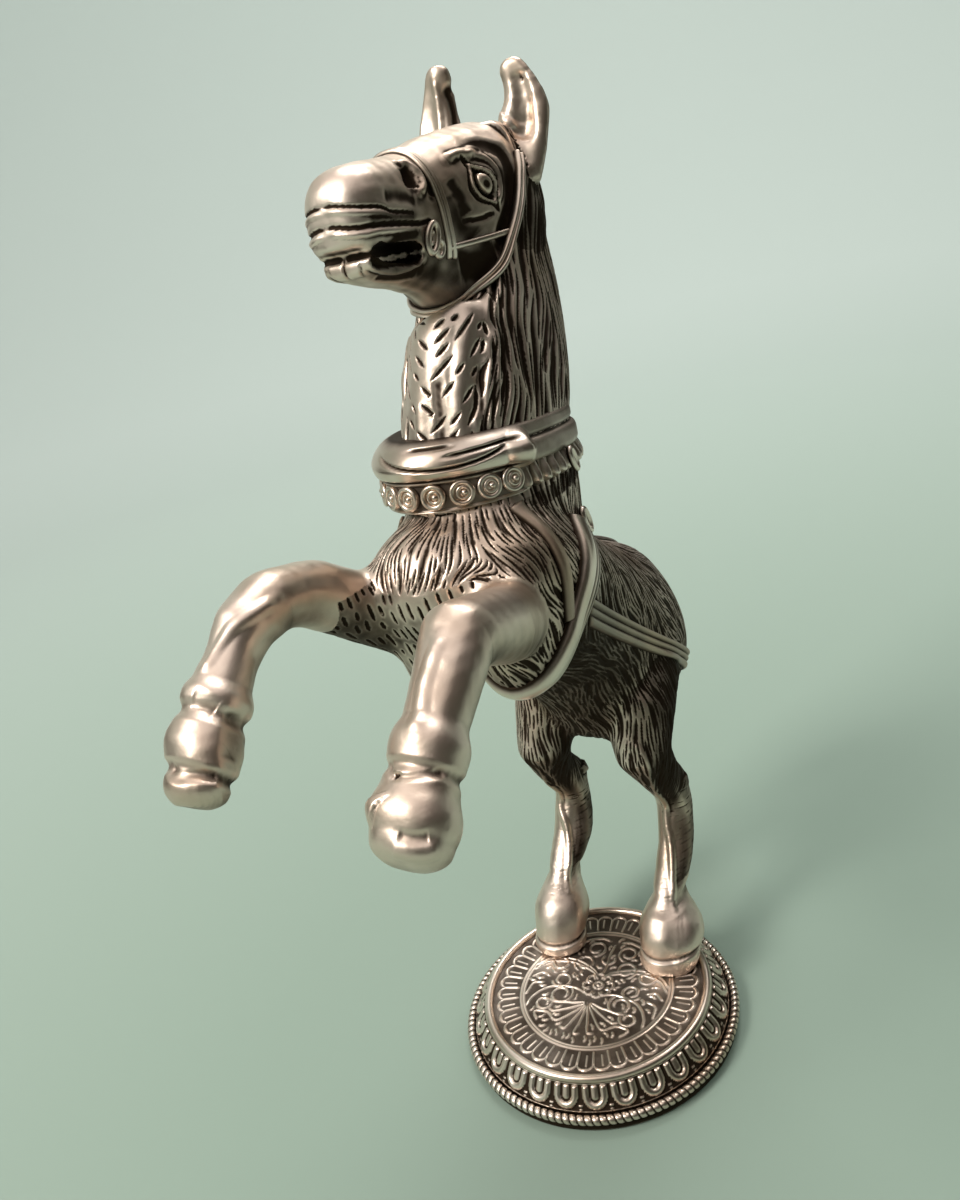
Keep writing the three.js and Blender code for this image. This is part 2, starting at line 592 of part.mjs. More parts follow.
// Two steps round the base make a petal: one in the gap and one on its back.
const petalled = (radius, height, k, row) => {
  const share = row >= 4 && row < 4 + PETAL_ROWS.length && k % 2 ? PETAL_ROWS[row - 4][1] : 0;
  const rise = (PETAL_RELIEF * share) / slopeLength;
  return [radius + slopeRun[1] * rise, height + slopeRun[0] * rise];
};
const ledgeInside = LEDGE_RADIUS - FOOT_WALL;
const dish = [
  [ledgeInside, -2],
  [ledgeInside, PAD_THICKNESS + PAD_CLEARANCE],
  [ledgeInside - PAD_LEDGE, PAD_THICKNESS + PAD_CLEARANCE],
  [ledgeInside - PAD_LEDGE, SLOPE_FOOT - 0.8],
  [fieldRadius, FIELD_HEIGHT - FIELD_THICKNESS],
];
const studPlaces = SIDES.map(([name, side]) => [name, side * HOOF_SPREAD, -HOOF_FORWARD]);
const holes = studPlaces.map(([, x, y]) =>
  pin(x, y, 0, FIELD_HEIGHT + BEAD_RADIUS, STUD_RADIUS + STUD_CLEARANCE),
);
place(figurine, "base", cut(turned(outer, PETAL_COUNT * 2, petalled), turned(dish, 32), ...holes));

// Rope rim round the foot. Its strands show as a wave that travels along it.
const ROPE_STEPS = 3;
const ropeRadius = LEDGE_RADIUS + SEAT + ROPE_RADIUS;
const ropeHeight = LEDGE_HEIGHT + SEAT + ROPE_RADIUS;
const ropeSides = 5;
const rope = Array.from({ length: ROPE_TWISTS * ROPE_STEPS }, (_, i) => {
  const turn = (i / (ROPE_TWISTS * ROPE_STEPS)) * Math.PI * 2;
  return Array.from({ length: ropeSides }, (_, k) => {
    const round = (-k / ropeSides) * Math.PI * 2;
    const lay = Math.cos((i / ROPE_STEPS) * Math.PI * 2 + round);
    const thick = ROPE_RADIUS - ROPE_RELIEF * (0.5 - 0.5 * lay);
    const radius = ropeRadius + thick * Math.cos(round);
    const height = ropeHeight + thick * Math.sin(round);
    return new THREE.Vector3(radius * Math.cos(turn), radius * Math.sin(turn), height);
  });
});
place(figurine, "rope_rim", skin(rope), POLISHED);

// Felt pad, and the stud, washer and nut of each hind hoof
place(figurine, "felt_pad", pin(0, 0, 0, PAD_THICKNESS, ledgeInside - PAD_CLEARANCE, 48), FELT);
const washerTop = FIELD_HEIGHT - FIELD_THICKNESS - SEAT;
const nutTop = washerTop - WASHER_THICKNESS - SEAT;
const nutFoot = nutTop - NUT_HEIGHT;
studPlaces.forEach(([name, x, y]) => {
  const ring = (top, thickness, radius, sides) =>
    cut(
      pin(x, y, top - thickness, top, radius, sides),
      pin(x, y, top - thickness - 1, top + 1, STUD_RADIUS + STUD_CLEARANCE),
    );
  const studTop = FIELD_HEIGHT + SEAT + STUD_REACH - STUD_CLEARANCE;
  place(figurine, `stud_${name}`, pin(x, y, nutFoot - STUD_TAIL, studTop, STUD_RADIUS), STEEL);
  place(figurine, `washer_${name}`, ring(washerTop, WASHER_THICKNESS, WASHER_RADIUS, 16), STEEL);
  place(figurine, `nut_${name}`, ring(nutTop, NUT_HEIGHT, NUT_RADIUS, 6), STEEL);
});

export default figurine;
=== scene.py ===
import math

import bmesh
import bpy
import numpy as np
from mathutils import Matrix, Vector
from mathutils.bvhtree import BVHTree
from mathutils.kdtree import KDTree


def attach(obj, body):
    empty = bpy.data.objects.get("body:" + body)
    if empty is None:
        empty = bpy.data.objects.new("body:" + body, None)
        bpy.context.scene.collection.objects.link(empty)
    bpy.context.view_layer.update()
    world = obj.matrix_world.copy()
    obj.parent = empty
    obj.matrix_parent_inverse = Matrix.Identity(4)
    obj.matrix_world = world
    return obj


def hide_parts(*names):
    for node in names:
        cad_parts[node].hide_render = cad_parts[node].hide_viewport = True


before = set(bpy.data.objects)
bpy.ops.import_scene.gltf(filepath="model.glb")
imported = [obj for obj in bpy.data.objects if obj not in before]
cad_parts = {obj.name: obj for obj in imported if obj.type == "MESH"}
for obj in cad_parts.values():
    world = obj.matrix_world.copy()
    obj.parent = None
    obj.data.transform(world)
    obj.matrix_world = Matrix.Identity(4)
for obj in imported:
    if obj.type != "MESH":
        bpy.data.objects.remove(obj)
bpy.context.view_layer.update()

# Camera
# It stands in front of the horse's left side, a little above its withers, and
# leans slightly, as the picture does.
CAMERA_PLACE = Vector((0.132935, -0.225947, 0.264425))
CAMERA_RIGHT = Vector((0.871, 0.439, -0.221)).normalized()
CAMERA_UP = Vector((0.010, 0.434, 0.901)).normalized()


def put_in_scene(name, data):
    made = bpy.data.objects.new(name, data)
    bpy.context.scene.collection.objects.link(made)
    return made


camera_data = bpy.data.cameras.new("camera")
camera_data.sensor_width = 36
camera_data.lens = 30
camera_data.clip_start = 0.01
camera = put_in_scene("camera", camera_data)
camera_back = CAMERA_RIGHT.cross(CAMERA_UP).normalized()
camera_turn = Matrix((CAMERA_RIGHT, camera_back.cross(CAMERA_RIGHT), camera_back)).transposed()
camera.matrix_world = Matrix.Translation(CAMERA_PLACE) @ camera_turn.to_4x4()
bpy.context.scene.camera = camera

# Skin of the horse
# The horse is cast in eleven pieces that are soldered together and filed until the joints
# vanish, so its skin is made as one closed form first and is cut into castings later.
# Lengths are in millimetres: forward, left, and up from the face that the hooves stand on.
CASTINGS = [
    "forehand", "hindquarters", "neck", "head", "ear_left", "ear_right",
    "foreleg_left", "foreleg_right", "hind_leg_left", "hind_leg_right", "tail",
]
HOOF_FACE = 12.7
SKIN_EDGE = 0.7
JOINT_CLOSING = 0.25
FILING_ROUNDS = 150
FILING = {  # how much of that each casting is given; the others are given all of it
    "head": 0.06, "ear_left": 0.04, "ear_right": 0.04, "foreleg_left": 0.14, "foreleg_right": 0.14,
    "hind_leg_left": 0.16, "hind_leg_right": 0.16, "tail": 0.3,
}
UPPER_ARM_END, UPPER_ARM_FILING = 68, 0.3  # the forelegs' upper arms are filed more than their ends


def points_of(mesh):
    values = np.empty(len(mesh.vertices) * 3)
    mesh.vertices.foreach_get("co", values)
    x, y, z = values.reshape(-1, 3).T * 1000
    return np.column_stack((-y, x, z - HOOF_FACE))


def to_metres(points):
    forward, left, up = np.asarray(points).T
    return np.column_stack((left, -forward, up + HOOF_FACE)) / 1000


def put_points(mesh, points):
    mesh.vertices.foreach_set("co", to_metres(points).ravel())
    mesh.update()


def edges_of(mesh):
    values = np.empty(len(mesh.edges) * 2, dtype=np.int32)
    mesh.edges.foreach_get("vertices", values)
    return values.reshape(-1, 2)


def neighbour_mean(values, edges):
    count = len(values)
    a, b = edges.T
    degree = np.bincount(a, minlength=count) + np.bincount(b, minlength=count)
    columns = values.reshape(count, -1).T
    sums = [np.bincount(a, c[b], count) + np.bincount(b, c[a], count) for c in columns]
    return (np.array(sums) / np.maximum(degree, 1)).T.reshape(values.shape)


def file_smooth(points, edges, rounds, share):
    for _ in range(rounds):
        points = points + share[:, None] * (neighbour_mean(points, edges) - points)
    return points


def finish_with(piece, kind, **settings):
    modifier = piece.modifiers.new(kind.title(), kind)
    for name, value in settings.items():
        setattr(modifier, name, value)
    bpy.ops.object.select_all(action="DESELECT")
    piece.select_set(True)
    bpy.context.view_layer.objects.active = piece
    bpy.ops.object.modifier_apply(modifier=modifier.name)


def merged_copy(node_names, name, swell):
    form = bmesh.new()
    for node in node_names:
        form.from_mesh(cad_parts[node].data)
    bmesh.ops.remove_doubles(form, verts=form.verts, dist=2e-6)
    form.normal_update()
    for vertex in form.verts:
        vertex.co += vertex.normal * swell / 1000
    mesh = bpy.data.meshes.new(name)
    form.to_mesh(mesh)
    form.free()
    return put_in_scene(name, mesh)


skin = merged_copy(CASTINGS, "skin", JOINT_CLOSING)
finish_with(skin, "REMESH", mode="VOXEL", voxel_size=SKIN_EDGE / 1000)

# Which casting each point of the skin belongs to: the nearest one, with stray patches
# given to what surrounds them.
tree_points, tree_faces, tree_owner = [], [], []
for number, node in enumerate(CASTINGS):
    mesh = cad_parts[node].data
    start = len(tree_points)
    tree_points.extend(v.co.copy() for v in mesh.vertices)
    for polygon in mesh.polygons:
        tree_faces.append([start + i for i in polygon.vertices])
        tree_owner.append(number)
casting_tree = BVHTree.FromPolygons(tree_points, tree_faces)
owner = np.array([tree_owner[casting_tree.find_nearest(v.co)[2]] for v in skin.data.vertices])
skin_edges = edges_of(skin.data)


def blurred_owner(owner, rounds):
    share = np.eye(len(CASTINGS))[owner]
    for _ in range(rounds):
        share = 0.5 * share + 0.5 * neighbour_mean(share, skin_edges)
    return share


def patches(owner):
    patch = np.arange(len(owner))
    a, b = skin_edges[owner[skin_edges[:, 0]] == owner[skin_edges[:, 1]]].T
    while True:
        lowest = patch.copy()
        np.minimum.at(lowest, a, patch[b])
        np.minimum.at(lowest, b, patch[a])
        lowest = lowest[lowest]
        if (lowest == patch).all():
            return patch
        patch = lowest


owner = blurred_owner(owner, 6).argmax(axis=1)
patch = patches(owner)
for number in range(len(CASTINGS)):
    sizes = np.bincount(patch[owner == number])
    stray = (owner == number) & (patch != sizes.argmax())
    for _ in range(40):
        if not stray.any():
            break
        share = np.eye(len(CASTINGS))[owner]
        share[stray] = 0
        around = neighbour_mean(share, skin_edges)
        ready = stray & (around.sum(axis=1) > 0)
        owner[ready] = around[ready].argmax(axis=1)
        stray &= ~ready
filing = np.array([FILING.get(name, 1.0) for name in CASTINGS])
filing_share = 0.5 * blurred_owner(owner, 12) @ filing
unfiled = points_of(skin.data)
forelegs = [CASTINGS.index("foreleg_left"), CASTINGS.index("foreleg_right")]
upper_arm = np.clip((UPPER_ARM_END - unfiled[:, 0]) / 14, 0, 1) * np.isin(owner, forelegs)
filing_share = np.maximum(filing_share, UPPER_ARM_FILING * upper_arm)
filed = file_smooth(unfiled, skin_edges, FILING_ROUNDS, filing_share)
put_points(skin.data, filed)

# The skin is refined once, every face into four, and its points settle between their neighbours.
coarse_faces = np.empty(len(skin.data.polygons) * 4, dtype=np.int32)
skin.data.polygons.foreach_get("vertices", coarse_faces)
coarse_faces = coarse_faces.reshape(-1, 4)
face_owner = np.repeat(blurred_owner(owner, 2)[coarse_faces].sum(axis=1).argmax(axis=1), 4)
coarse = points_of(skin.data)
bpy.data.objects.remove(skin)
sides = np.stack((coarse_faces, np.roll(coarse_faces, -1, axis=1)), axis=2)
pairs, side_number = np.unique(np.sort(sides.reshape(-1, 2), axis=1), axis=0, return_inverse=True)
side_number = side_number.reshape(-1, 4) + len(coarse)
middles = np.arange(len(coarse_faces)) + len(coarse) + len(pairs)
bare = np.vstack((coarse, coarse[pairs].mean(axis=1), coarse[coarse_faces].mean(axis=1)))
skin_faces = np.stack([
    np.column_stack((coarse_faces[:, k], side_number[:, k], middles, side_number[:, k - 1]))
    for k in range(4)
], axis=1).reshape(-1, 4)
skin_edges = np.vstack([
    np.column_stack((coarse_faces[:, k], side_number[:, k])) for k in range(4)
] + [np.column_stack((side_number[:, k], middles)) for k in range(4)])
skin_edges = np.unique(np.sort(skin_edges, axis=1), axis=0)
bare = file_smooth(bare, skin_edges, 3, np.full(len(bare), 0.5))
point_owner = np.zeros(len(bare), dtype=np.int32)
for corner in range(4):
    point_owner[skin_faces[:, corner]] = face_owner


def unit(values):
    return values / np.maximum(np.linalg.norm(values, axis=-1, keepdims=True), 1e-9)


def outward_normals(points, faces):
    a, b, c, d = (points[faces[:, k]] for k in range(4))
    facing = np.repeat(np.cross(c - a, d - b), 4, axis=0)
    corners = faces.ravel()
    return unit(np.column_stack([np.bincount(corners, facing[:, k], len(points)) for k in range(3)]))


outward = outward_normals(bare, skin_faces)


def on(*names):
    return np.isin(point_owner, [CASTINGS.index(name) for name in names])


# The legs and ears are set as listed: the forelegs stand a little more aside than the castings
# were drawn, and the ears are broader.
ASIDE = np.array((0.439, -0.871, 0.221))
LEG_SETTING = {  # how far aside, by how far forward on the leg
    "foreleg_right": ((42, 58, 72, 84, 92, 99), (0, 3.2, 4.1, 3.3, 2.4, 0)),
    "foreleg_left": ((45, 62, 82, 90, 100), (0, 4.0, 2.5, 2.0, 0.8)),
}
EAR_SETTING = {  # how far aside, and how much broader at the root and at the tip
    "ear_left": (1.6, 1.38, 1.12), "ear_right": (0.4, 1.4, 1.35),
}


def smoothstep(low, high, values):
    t = np.clip((values - low) / (high - low), 0, 1)
    return t * t * (3 - 2 * t)


for name, (stations, shifts) in LEG_SETTING.items():
    chosen = on(name)
    bare[chosen] += np.interp(bare[chosen, 0], stations, shifts)[:, None] * ASIDE
for name, (shift, root, tip) in EAR_SETTING.items():
    chosen = on(name)
    ear = bare[chosen]
    off = ear @ ASIDE
    off -= np.polyval(np.polyfit(ear[:, 2], off, 3), ear[:, 2])
    free = smoothstep(262, 268, ear[:, 2])
    broader = root + (tip - root) * smoothstep(266, 279, ear[:, 2]) - 1
    bare[chosen] += (free * (off * broader + shift))[:, None] * ASIDE
outward = outward_normals(bare, skin_faces)

# Modelling on the head, legs and neck. Every mark is a line, its half width, how far it stands
# out or is cut in, and how dark it is. The head has its own frame, level with the mouth, and both
# sides of the face are alike: forward, distance from the middle, and up.
HEAD_PLACE = (0, 40, 244)
head_turn = np.array(Matrix.Rotation(-0.17, 3, "Z") @ Matrix.Rotation(-0.13, 3, "X"))
FACE_MARKS = [
    ([(63.8, 0, 2.8), (63.8, 4.1, 2.5), (61.4, 8.4, 1.6), (55.9, 10.7, 1.1), (52.8, 11.1, 0),
      (46, 11.3, -0.4)], 0.65, -0.45, 0.8),  # upper lip
    ([(63.8, 0, 1.3), (63.6, 4.4, 1.1), (61.2, 8.6, 0.2), (55.9, 10.8, -0.3), (51, 11.2, -1.2)], 0.9, 0.3, 0),
    ([(63.9, 0, -2), (63.9, 2.9, -2), (61.9, 7.8, -2.8), (57.1, 10.3, -2.6), (50.5, 11.1, -2.7),
      (43.5, 11.1, -2.9), (40, 11.3, -2.4)], 0.9, -0.6, 1.1),
    ([(63.8, 0, -3.6), (63.6, 3.2, -3.7), (61.4, 8, -4.4), (56.8, 10.4, -4.2), (50, 11, -4.2),
      (45, 11, -4.3)], 1.0, 0.45, 0),
    ([(59.9, 0, -8.9), (59.6, 6.2, -8.9), (57, 8.8, -8.8), (53, 9.6, -8.6)], 1.2, -0.9, 1.2),  # mouth
    ([(59.6, 0, -11), (59.4, 5, -11.2)], 3.0, 0.8, 0),
    ([(59.6, 6.8, -10.6), (56.6, 7.6, -12.1), (52.1, 7.6, -13.1), (47, 8.8, -12.6), (42.2, 9.3, -11)],
     1.6, 1.0, 0),
    # a shallow dent under the lower lip, with its shadow painted in
    ([(56, 6, -15), (50, 7, -16), (43, 9, -14.5)], 2.4, -0.5, 0.5),
    ([(43.3, 8.2, 10.3), (43, 9.3, 8.6), (43.2, 9.8, 6.6), (43.9, 10.5, 5.3)], 2.5, -2.1, 1.7),  # nostril
    ([(43.4, 6.6, 11.4), (41, 8.8, 10.8), (39.6, 10.2, 8.3), (39.8, 10.8, 5.8), (41.8, 11.1, 3.6)],
     1.4, 1.0, 0),
    ([(37.6, 9.4, 10.4), (37, 10.8, 7), (38, 11.3, 3)], 1.6, -0.5, 0.9),
    # a shallow dent under the nostril, with shade painted in
    ([(54.5, 10.7, 3.6), (49, 11, 3.4), (43.5, 11.1, 2.2)], 2.4, -0.3, 0.2),
    ([(30, 10.4, 11.2), (26.5, 11.2, 12.6), (23.2, 11.9, 13.1), (20.2, 12.2, 14), (17, 13, 13.4)],
     1.9, 1.1, 0),  # brow
    ([(24.6, 12.4, 11.6), (21, 12.9, 12.4), (17.4, 13.8, 11), (15.4, 15, 7.6), (15.6, 15.4, 3.4),
      (18, 15.3, 0.2)], 1.5, 0.8, 0),
    ([(22.1, 11.7, 14.4), (16.9, 12.5, 15), (11.6, 13.8, 13.4), (10, 15.4, 9), (11.4, 16, 2),
      (15.4, 16.4, -4.6), (18.6, 15, -9.6)], 3.1, -1.0, 0.95),  # fold behind the cheek
    ([(28.6, 13.2, -3.2), (24.3, 14.1, -2.9), (19.2, 15.1, -2)], 0.9, -0.5, 0.9),
    ([(31, 10.6, 6.5), (28.5, 12, 2), (27.5, 12.8, -2)], 2.6, -0.35, 0.4),
    ([(30, 10, -14), (24, 12.5, -13), (19, 14.5, -11)], 6.5, -0.3, 0.55),
    ([(31, 11.5, 4), (29, 12.5, -3), (26, 13.5, -8)], 5.0, -0.2, 0.4),
    ([(14, 15.6, 10), (13.4, 16.2, 0), (17, 16, -8)], 4.0, -0.2, 0.5),
    ([(60, 9, -1.4), (52, 11, -1.0), (44, 11.2, -1.2)], 2.4, 0, 0.45),
    ([(57, 8, -6), (50, 10.5, -5.4), (44, 10.8, -5)], 1.6, 0, 0.6),
]
EYE_CENTRE = (21.2, 14.7, 5.2)
EYE_AXIS = (-0.55, 0, -0.83)
EYE_HALF = (3.7, 2.15)
FAR_OFF = 9  # spans of the eye or pupil, where nothing is felt of it
MOUTH = ((42.3, 59), 9.9, (-12, -6.1))
BODY_MARKS = [
    (("ear_left",), [(-44.5, 14, 263), (-45.8, 14.4, 270), (-46.5, 13.6, 277)], 3.4, -0.7, 0),
    (("ear_left",), [(-42.8, 13.4, 260), (-44.4, 14.8, 265.7), (-45.3, 16, 270)], 1.5, -0.3, 0),
    (("ear_left",), [(-46.2, 14.2, 274.6), (-46.3, 14.9, 275.4)], 1.3, -0.3, 0.3),
    (("head", "ear_left"), [(-33.5, 9.5, 263.5), (-39, 9.6, 265), (-43.5, 10.6, 266)], 6.0, 1.5, 0),
    (("ear_right",), [(-50.6, -10.5, 266), (-52.5, -11, 273), (-53, -12.4, 280)], 2.6, -1.2, 0.8),
    (("ear_right",), [(-49.8, -14, 266), (-50.6, -13.9, 273), (-51.4, -13.8, 281)], 1.6, 0.5, 0),
    (("foreleg_right",), [(62.1, -23, 175), (70, -26.5, 174), (75.5, -29.5, 172), (84, -32, 166)],
     2.6, 0.7, 0),
    (("foreleg_right",), [(89.3, -25.5, 160.6), (88.5, -31, 162.9)], 3.0, -0.7, 0.25),
    (("foreleg_right",), [(98.5, -19.4, 149.6), (100, -24, 151), (101.6, -30.3, 151.3), (101, -35, 153)],
     1.9, -0.8, 0.3),
    (("foreleg_right",), [(86, -22.5, 160), (93, -19, 151)], 3.6, -0.4, 0.25),
    (("foreleg_left",), [(91, 18.5, 151.4), (93.3, 21.5, 150.4), (93.4, 24.5, 150.6), (91.8, 29.5, 150.6),
                         (89.5, 31.5, 150)], 1.4, -0.6, 0.25),
    (("foreleg_left",), [(93.2, 21.4, 150.4), (93.3, 22.8, 150.5)], 1.3, -0.5, 0.4),
    (("foreleg_left",), [(102.6, 25.6, 144), (101.9, 28.6, 143), (100.4, 31, 142.6)], 1.8, -0.6, 0.3),
    (("foreleg_left",), [(103, 24, 141), (102, 28.6, 140), (100, 31.6, 139.8)], 2.4, 0.5, 0),
    (("foreleg_left",), [(97, 18.5, 146), (99.5, 20, 145.5)], 5.0, 1.3, 0),
    (("foreleg_left",), [(69, 24, 168), (79, 23.4, 161.5), (87, 24.6, 155.6)], 2.6, 0.6, 0),
    (("hind_leg_left",), [(-27.6, 16, 79), (-27.6, 20.2, 76.9), (-30, 20.2, 64.6), (-41, 18.6, 43.5),
                          (-36, 20.6, 33.3), (-21.2, 24.2, 19.2)], 1.8, 0.9, 0),
    (("hind_leg_left",), [(-31, 23.2, 66), (-43, 22, 44), (-37.5, 24, 33), (-24, 26, 21)], 3.6, -0.4, 0.4),
    (("hind_leg_right",), [(-26.9, -22.4, 74.1), (-30.7, -19.7, 62.8), (-42.3, -21.5, 42.5),
                           (-35.7, -17.8, 32.3), (-22.6, -15.1, 19.5)], 1.8, 0.9, 0),
    (("hind_leg_right",), [(-34, -16.5, 62), (-44, -16.5, 44), (-37, -14, 32), (-25, -12, 21)],
     3.6, -0.4, 0.4),
    (("hind_leg_left",), [(-46.5, 24, 55.5), (-47, 26, 51)], 4.4, 1.3, 0),
    (("hind_leg_right",), [(-51.5, -13, 55), (-51.5, -12.4, 51)], 4.4, 1.4, 0),
    (("neck",), [(10.2, -5.1, 206), (13, -5.4, 196), (15, -5, 187)], 3.0, 0.7, 0),
    (("neck",), [(-2.4, 7.1, 224), (9.3, 5.9, 204.5), (14, 5.5, 190)], 3.2, 0.8, 0),
    (("neck",), [(10, 1, 212), (14.5, 1, 198), (17, 1, 188)], 2.4, -0.7, 0.5),
    (("neck",), [(2, 10, 212), (5.6, 9.6, 203), (9, 10.5, 190)], 2.2, -0.7, 0.6),
]
RIM_MARKS = [  # casting, a place on its axis, the axis, how wide, how far, how dark, and which side
    ("foreleg_right", (81, -31.5, 162), (0.765, -0.068, -0.646), ((-9, 9, -0.9, 0), (3, 4, 0.9, 0),
     (7.5, 2.6, -0.9, 0.1), (14, 6, 1.5, 0), (20.5, 2.2, -0.9, 0.3), (25.5, 4.5, 0.5, 0)), None),
    ("foreleg_right", (81, -31.5, 162), (0.765, -0.068, -0.646), ((27, 9, -1.2, 0.1),), (0, 0.61, -0.79)),
    ("foreleg_left", (80, 24, 152.8), (0.78, -0.035, -0.62), ((3, 5, 1.0, 0), (9.5, 2.1, -0.9, 0.1),
     (16.5, 6, 1.3, 0), (26, 4, 0.3, 0)), None),
    ("hind_leg_left", (0, 20, 0), (0, 0, 1),
     ((6.2, 1.3, -0.8, 0.3), (11.5, 6.5, 0.9, 0), (20, 3, -0.7, 0.15)), None),
    ("hind_leg_left", (0, 20, 0), (0, 0, 1), ((8, 12, 4.2, 0), (30, 12, 0.8, 0)), (-0.439, 0.871, -0.221)),
    ("hind_leg_right", (0, -20, 0), (0, 0, 1),
     ((4.8, 1.3, -0.8, 0.3), (12.5, 8, 0.9, 0), (22, 3, -0.6, 0.15)), None),
    ("hind_leg_right", (0, -20, 0), (0, 0, 1), ((9, 12, 1.8, 0), (31, 11, 2.4, 0)), (-0.439, 0.871, -0.221)),
]
SPLINE_STEPS = 12


def in_head(points):
    forward, left, up = np.asarray(points, dtype=float).reshape(-1, 3).T
    x, y, z = ((np.column_stack((left, -forward, up)) - HEAD_PLACE) @ head_turn).T
    return np.column_stack((-y, x, z))


def from_head(points):
    forward, left, up = np.asarray(points, dtype=float).reshape(-1, 3).T
    x, y, z = (np.column_stack((left, -forward, up)) @ head_turn.T + HEAD_PLACE).T
    return np.column_stack((-y, x, z))


def bell(share):
    return np.clip(1 - share**2, 0, 1) ** 2


def spline(line):
    line = np.array(line, dtype=float)
    padded = np.vstack((2 * line[0] - line[1], line, 2 * line[-1] - line[-2]))
    t = np.linspace(0, 1, SPLINE_STEPS, endpoint=False)[:, None]
    spans = []
    for a, b, c, d in zip(padded, padded[1:], padded[2:], padded[3:]):
        spans.append(0.5 * (2 * b + (c - a) * t + (2 * a - 5 * b + 4 * c - d) * t**2
                            + (3 * b - a - 3 * c + d) * t**3))
    return np.vstack(spans + [line[-1:]])


def stroke(places, line, half_width, ends=0.12):
    """How strongly a stroke along a line on the skin is felt at each place, from 0 to 1."""
    line = spline(line)
    felt = np.zeros(len(places))
    reach = half_width + 2.5
    inside = (places > line.min(axis=0) - reach) & (places < line.max(axis=0) + reach)
    near = np.flatnonzero(inside.all(axis=1))
    if not len(near):
        return felt
    line = np.array([places[near[((places[near] - spot) ** 2).sum(axis=1).argmin()]] for spot in line])
    for _ in range(3):
        line[1:-1] = 0.5 * line[1:-1] + 0.25 * (line[:-2] + line[2:])
    nearest, along = np.full(len(near), np.inf), np.zeros(len(near))
    run = np.concatenate(([0], np.cumsum(np.linalg.norm(np.diff(line, axis=0), axis=1))))
    for number, (a, b) in enumerate(zip(line, line[1:])):
        to = b - a
        t = np.clip((places[near] - a) @ to / max(to @ to, 1e-9), 0, 1)
        far = np.linalg.norm(places[near] - a - t[:, None] * to, axis=1)
        closer = far < nearest
        nearest[closer] = far[closer]
        along[closer] = ((run[number] + t * (run[number + 1] - run[number])) / max(run[-1], 1e-9))[closer]
    fade = smoothstep(0, ends, along) * smoothstep(0, ends, 1 - along)
    felt[near] = bell(nearest / half_width) * (0.25 + 0.75 * fade)
    return felt


height = np.zeros(len(bare))  # how far each point of the skin is moved outward
patina_and_shade = np.zeros(len(bare))  # how dark each point is, from 0 to 1


def mark(felt, stand, tone, chosen=slice(None)):
    """Moves the chosen skin outward by what it feels of a mark, and darkens it."""
    height[chosen] += stand * felt
    patina_and_shade[chosen] = np.maximum(patina_and_shade[chosen], tone * felt)


face = in_head(bare)
face[:, 1] = np.abs(face[:, 1])
face[~on("head")] = 1e6
for line, half_width, stand, tone in FACE_MARKS:
    mark(stroke(face, line, half_width), stand, tone)
for names, line, half_width, stand, tone in BODY_MARKS:
    chosen = np.flatnonzero(on(*names))
    mark(stroke(bare[chosen], line, half_width), stand, tone, chosen)
for name, place, axis, rims, facing in RIM_MARKS:
    chosen = np.flatnonzero(on(name))
    along = (bare[chosen] - place) @ np.array(axis)
    side = 1 if facing is None else smoothstep(-0.1, 1, outward[chosen] @ np.array(facing))
    for spot, half_width, stand, tone in rims:
        mark(bell((along - spot) / half_width) * side, stand, tone, chosen)
(mouth_back, mouth_front), mouth_half, (mouth_low, mouth_high) = MOUTH
in_mouth = (face[:, 0] > mouth_back) & (face[:, 0] < mouth_front) & (face[:, 1] < mouth_half)
mouth_middle = (mouth_low + mouth_high) / 2
rounded = np.abs((face[:, 0] - (mouth_back + mouth_front) / 2) / ((mouth_front - mouth_back) / 2)) ** 5
in_mouth &= rounded + np.abs((face[:, 2] - mouth_middle) / ((mouth_high - mouth_low) / 2)) ** 3 < 1
height[in_mouth] = -0.6
patina_and_shade[in_mouth] = 1.5
axis = np.array(EYE_AXIS) / np.linalg.norm(EYE_AXIS)
from_eye = face - EYE_CENTRE
eye_along = from_eye @ axis
eye_across = from_eye @ np.array((axis[2], 0, -axis[0]))
eye_span = np.hypot(eye_along / EYE_HALF[0], eye_across / (EYE_HALF[1] * np.clip(
    1.05 - 0.35 * (eye_along / EYE_HALF[0]) ** 2, 0.3, 1)))
eye_span[np.abs(from_eye[:, 1]) > 7] = FAR_OFF
height *= smoothstep(1.2, 2.0, eye_span)
patina_and_shade *= smoothstep(1.2, 2.0, eye_span)
height += 1.1 * np.sqrt(np.clip(1 - (eye_span / 0.82) ** 2, 0, 1))  # the ball
mark(bell((eye_span - 1) / 0.34), -1.1, 1.3)  # the groove round it
mark(bell((eye_span - 1.45) / 0.34), 0.7, 0)  # the lid
mark(bell((eye_span - 1.9) / 0.45), -0.5, 0.9)  # the fold round the lid
pupil = np.hypot(eye_along / 1.5, eye_across / 1.2)
pupil[eye_span > 1] = FAR_OFF
mark(bell(pupil), -0.5, 0.9)

# Hair is cut into the skin with a chisel, stroke beside stroke. Each stroke starts where there
# is room for it and follows the lie of the coat until it meets another one.
CHISEL_STEP = 0.6
forward, left, up = bare.T
skin_tree = KDTree(len(bare))
for index, point in enumerate(bare.tolist()):
    skin_tree.insert(point, index)
skin_tree.balance()


def along_skin(directions):
    inward = (directions * outward).sum(axis=1, keepdims=True)
    return unit(directions - inward * outward)


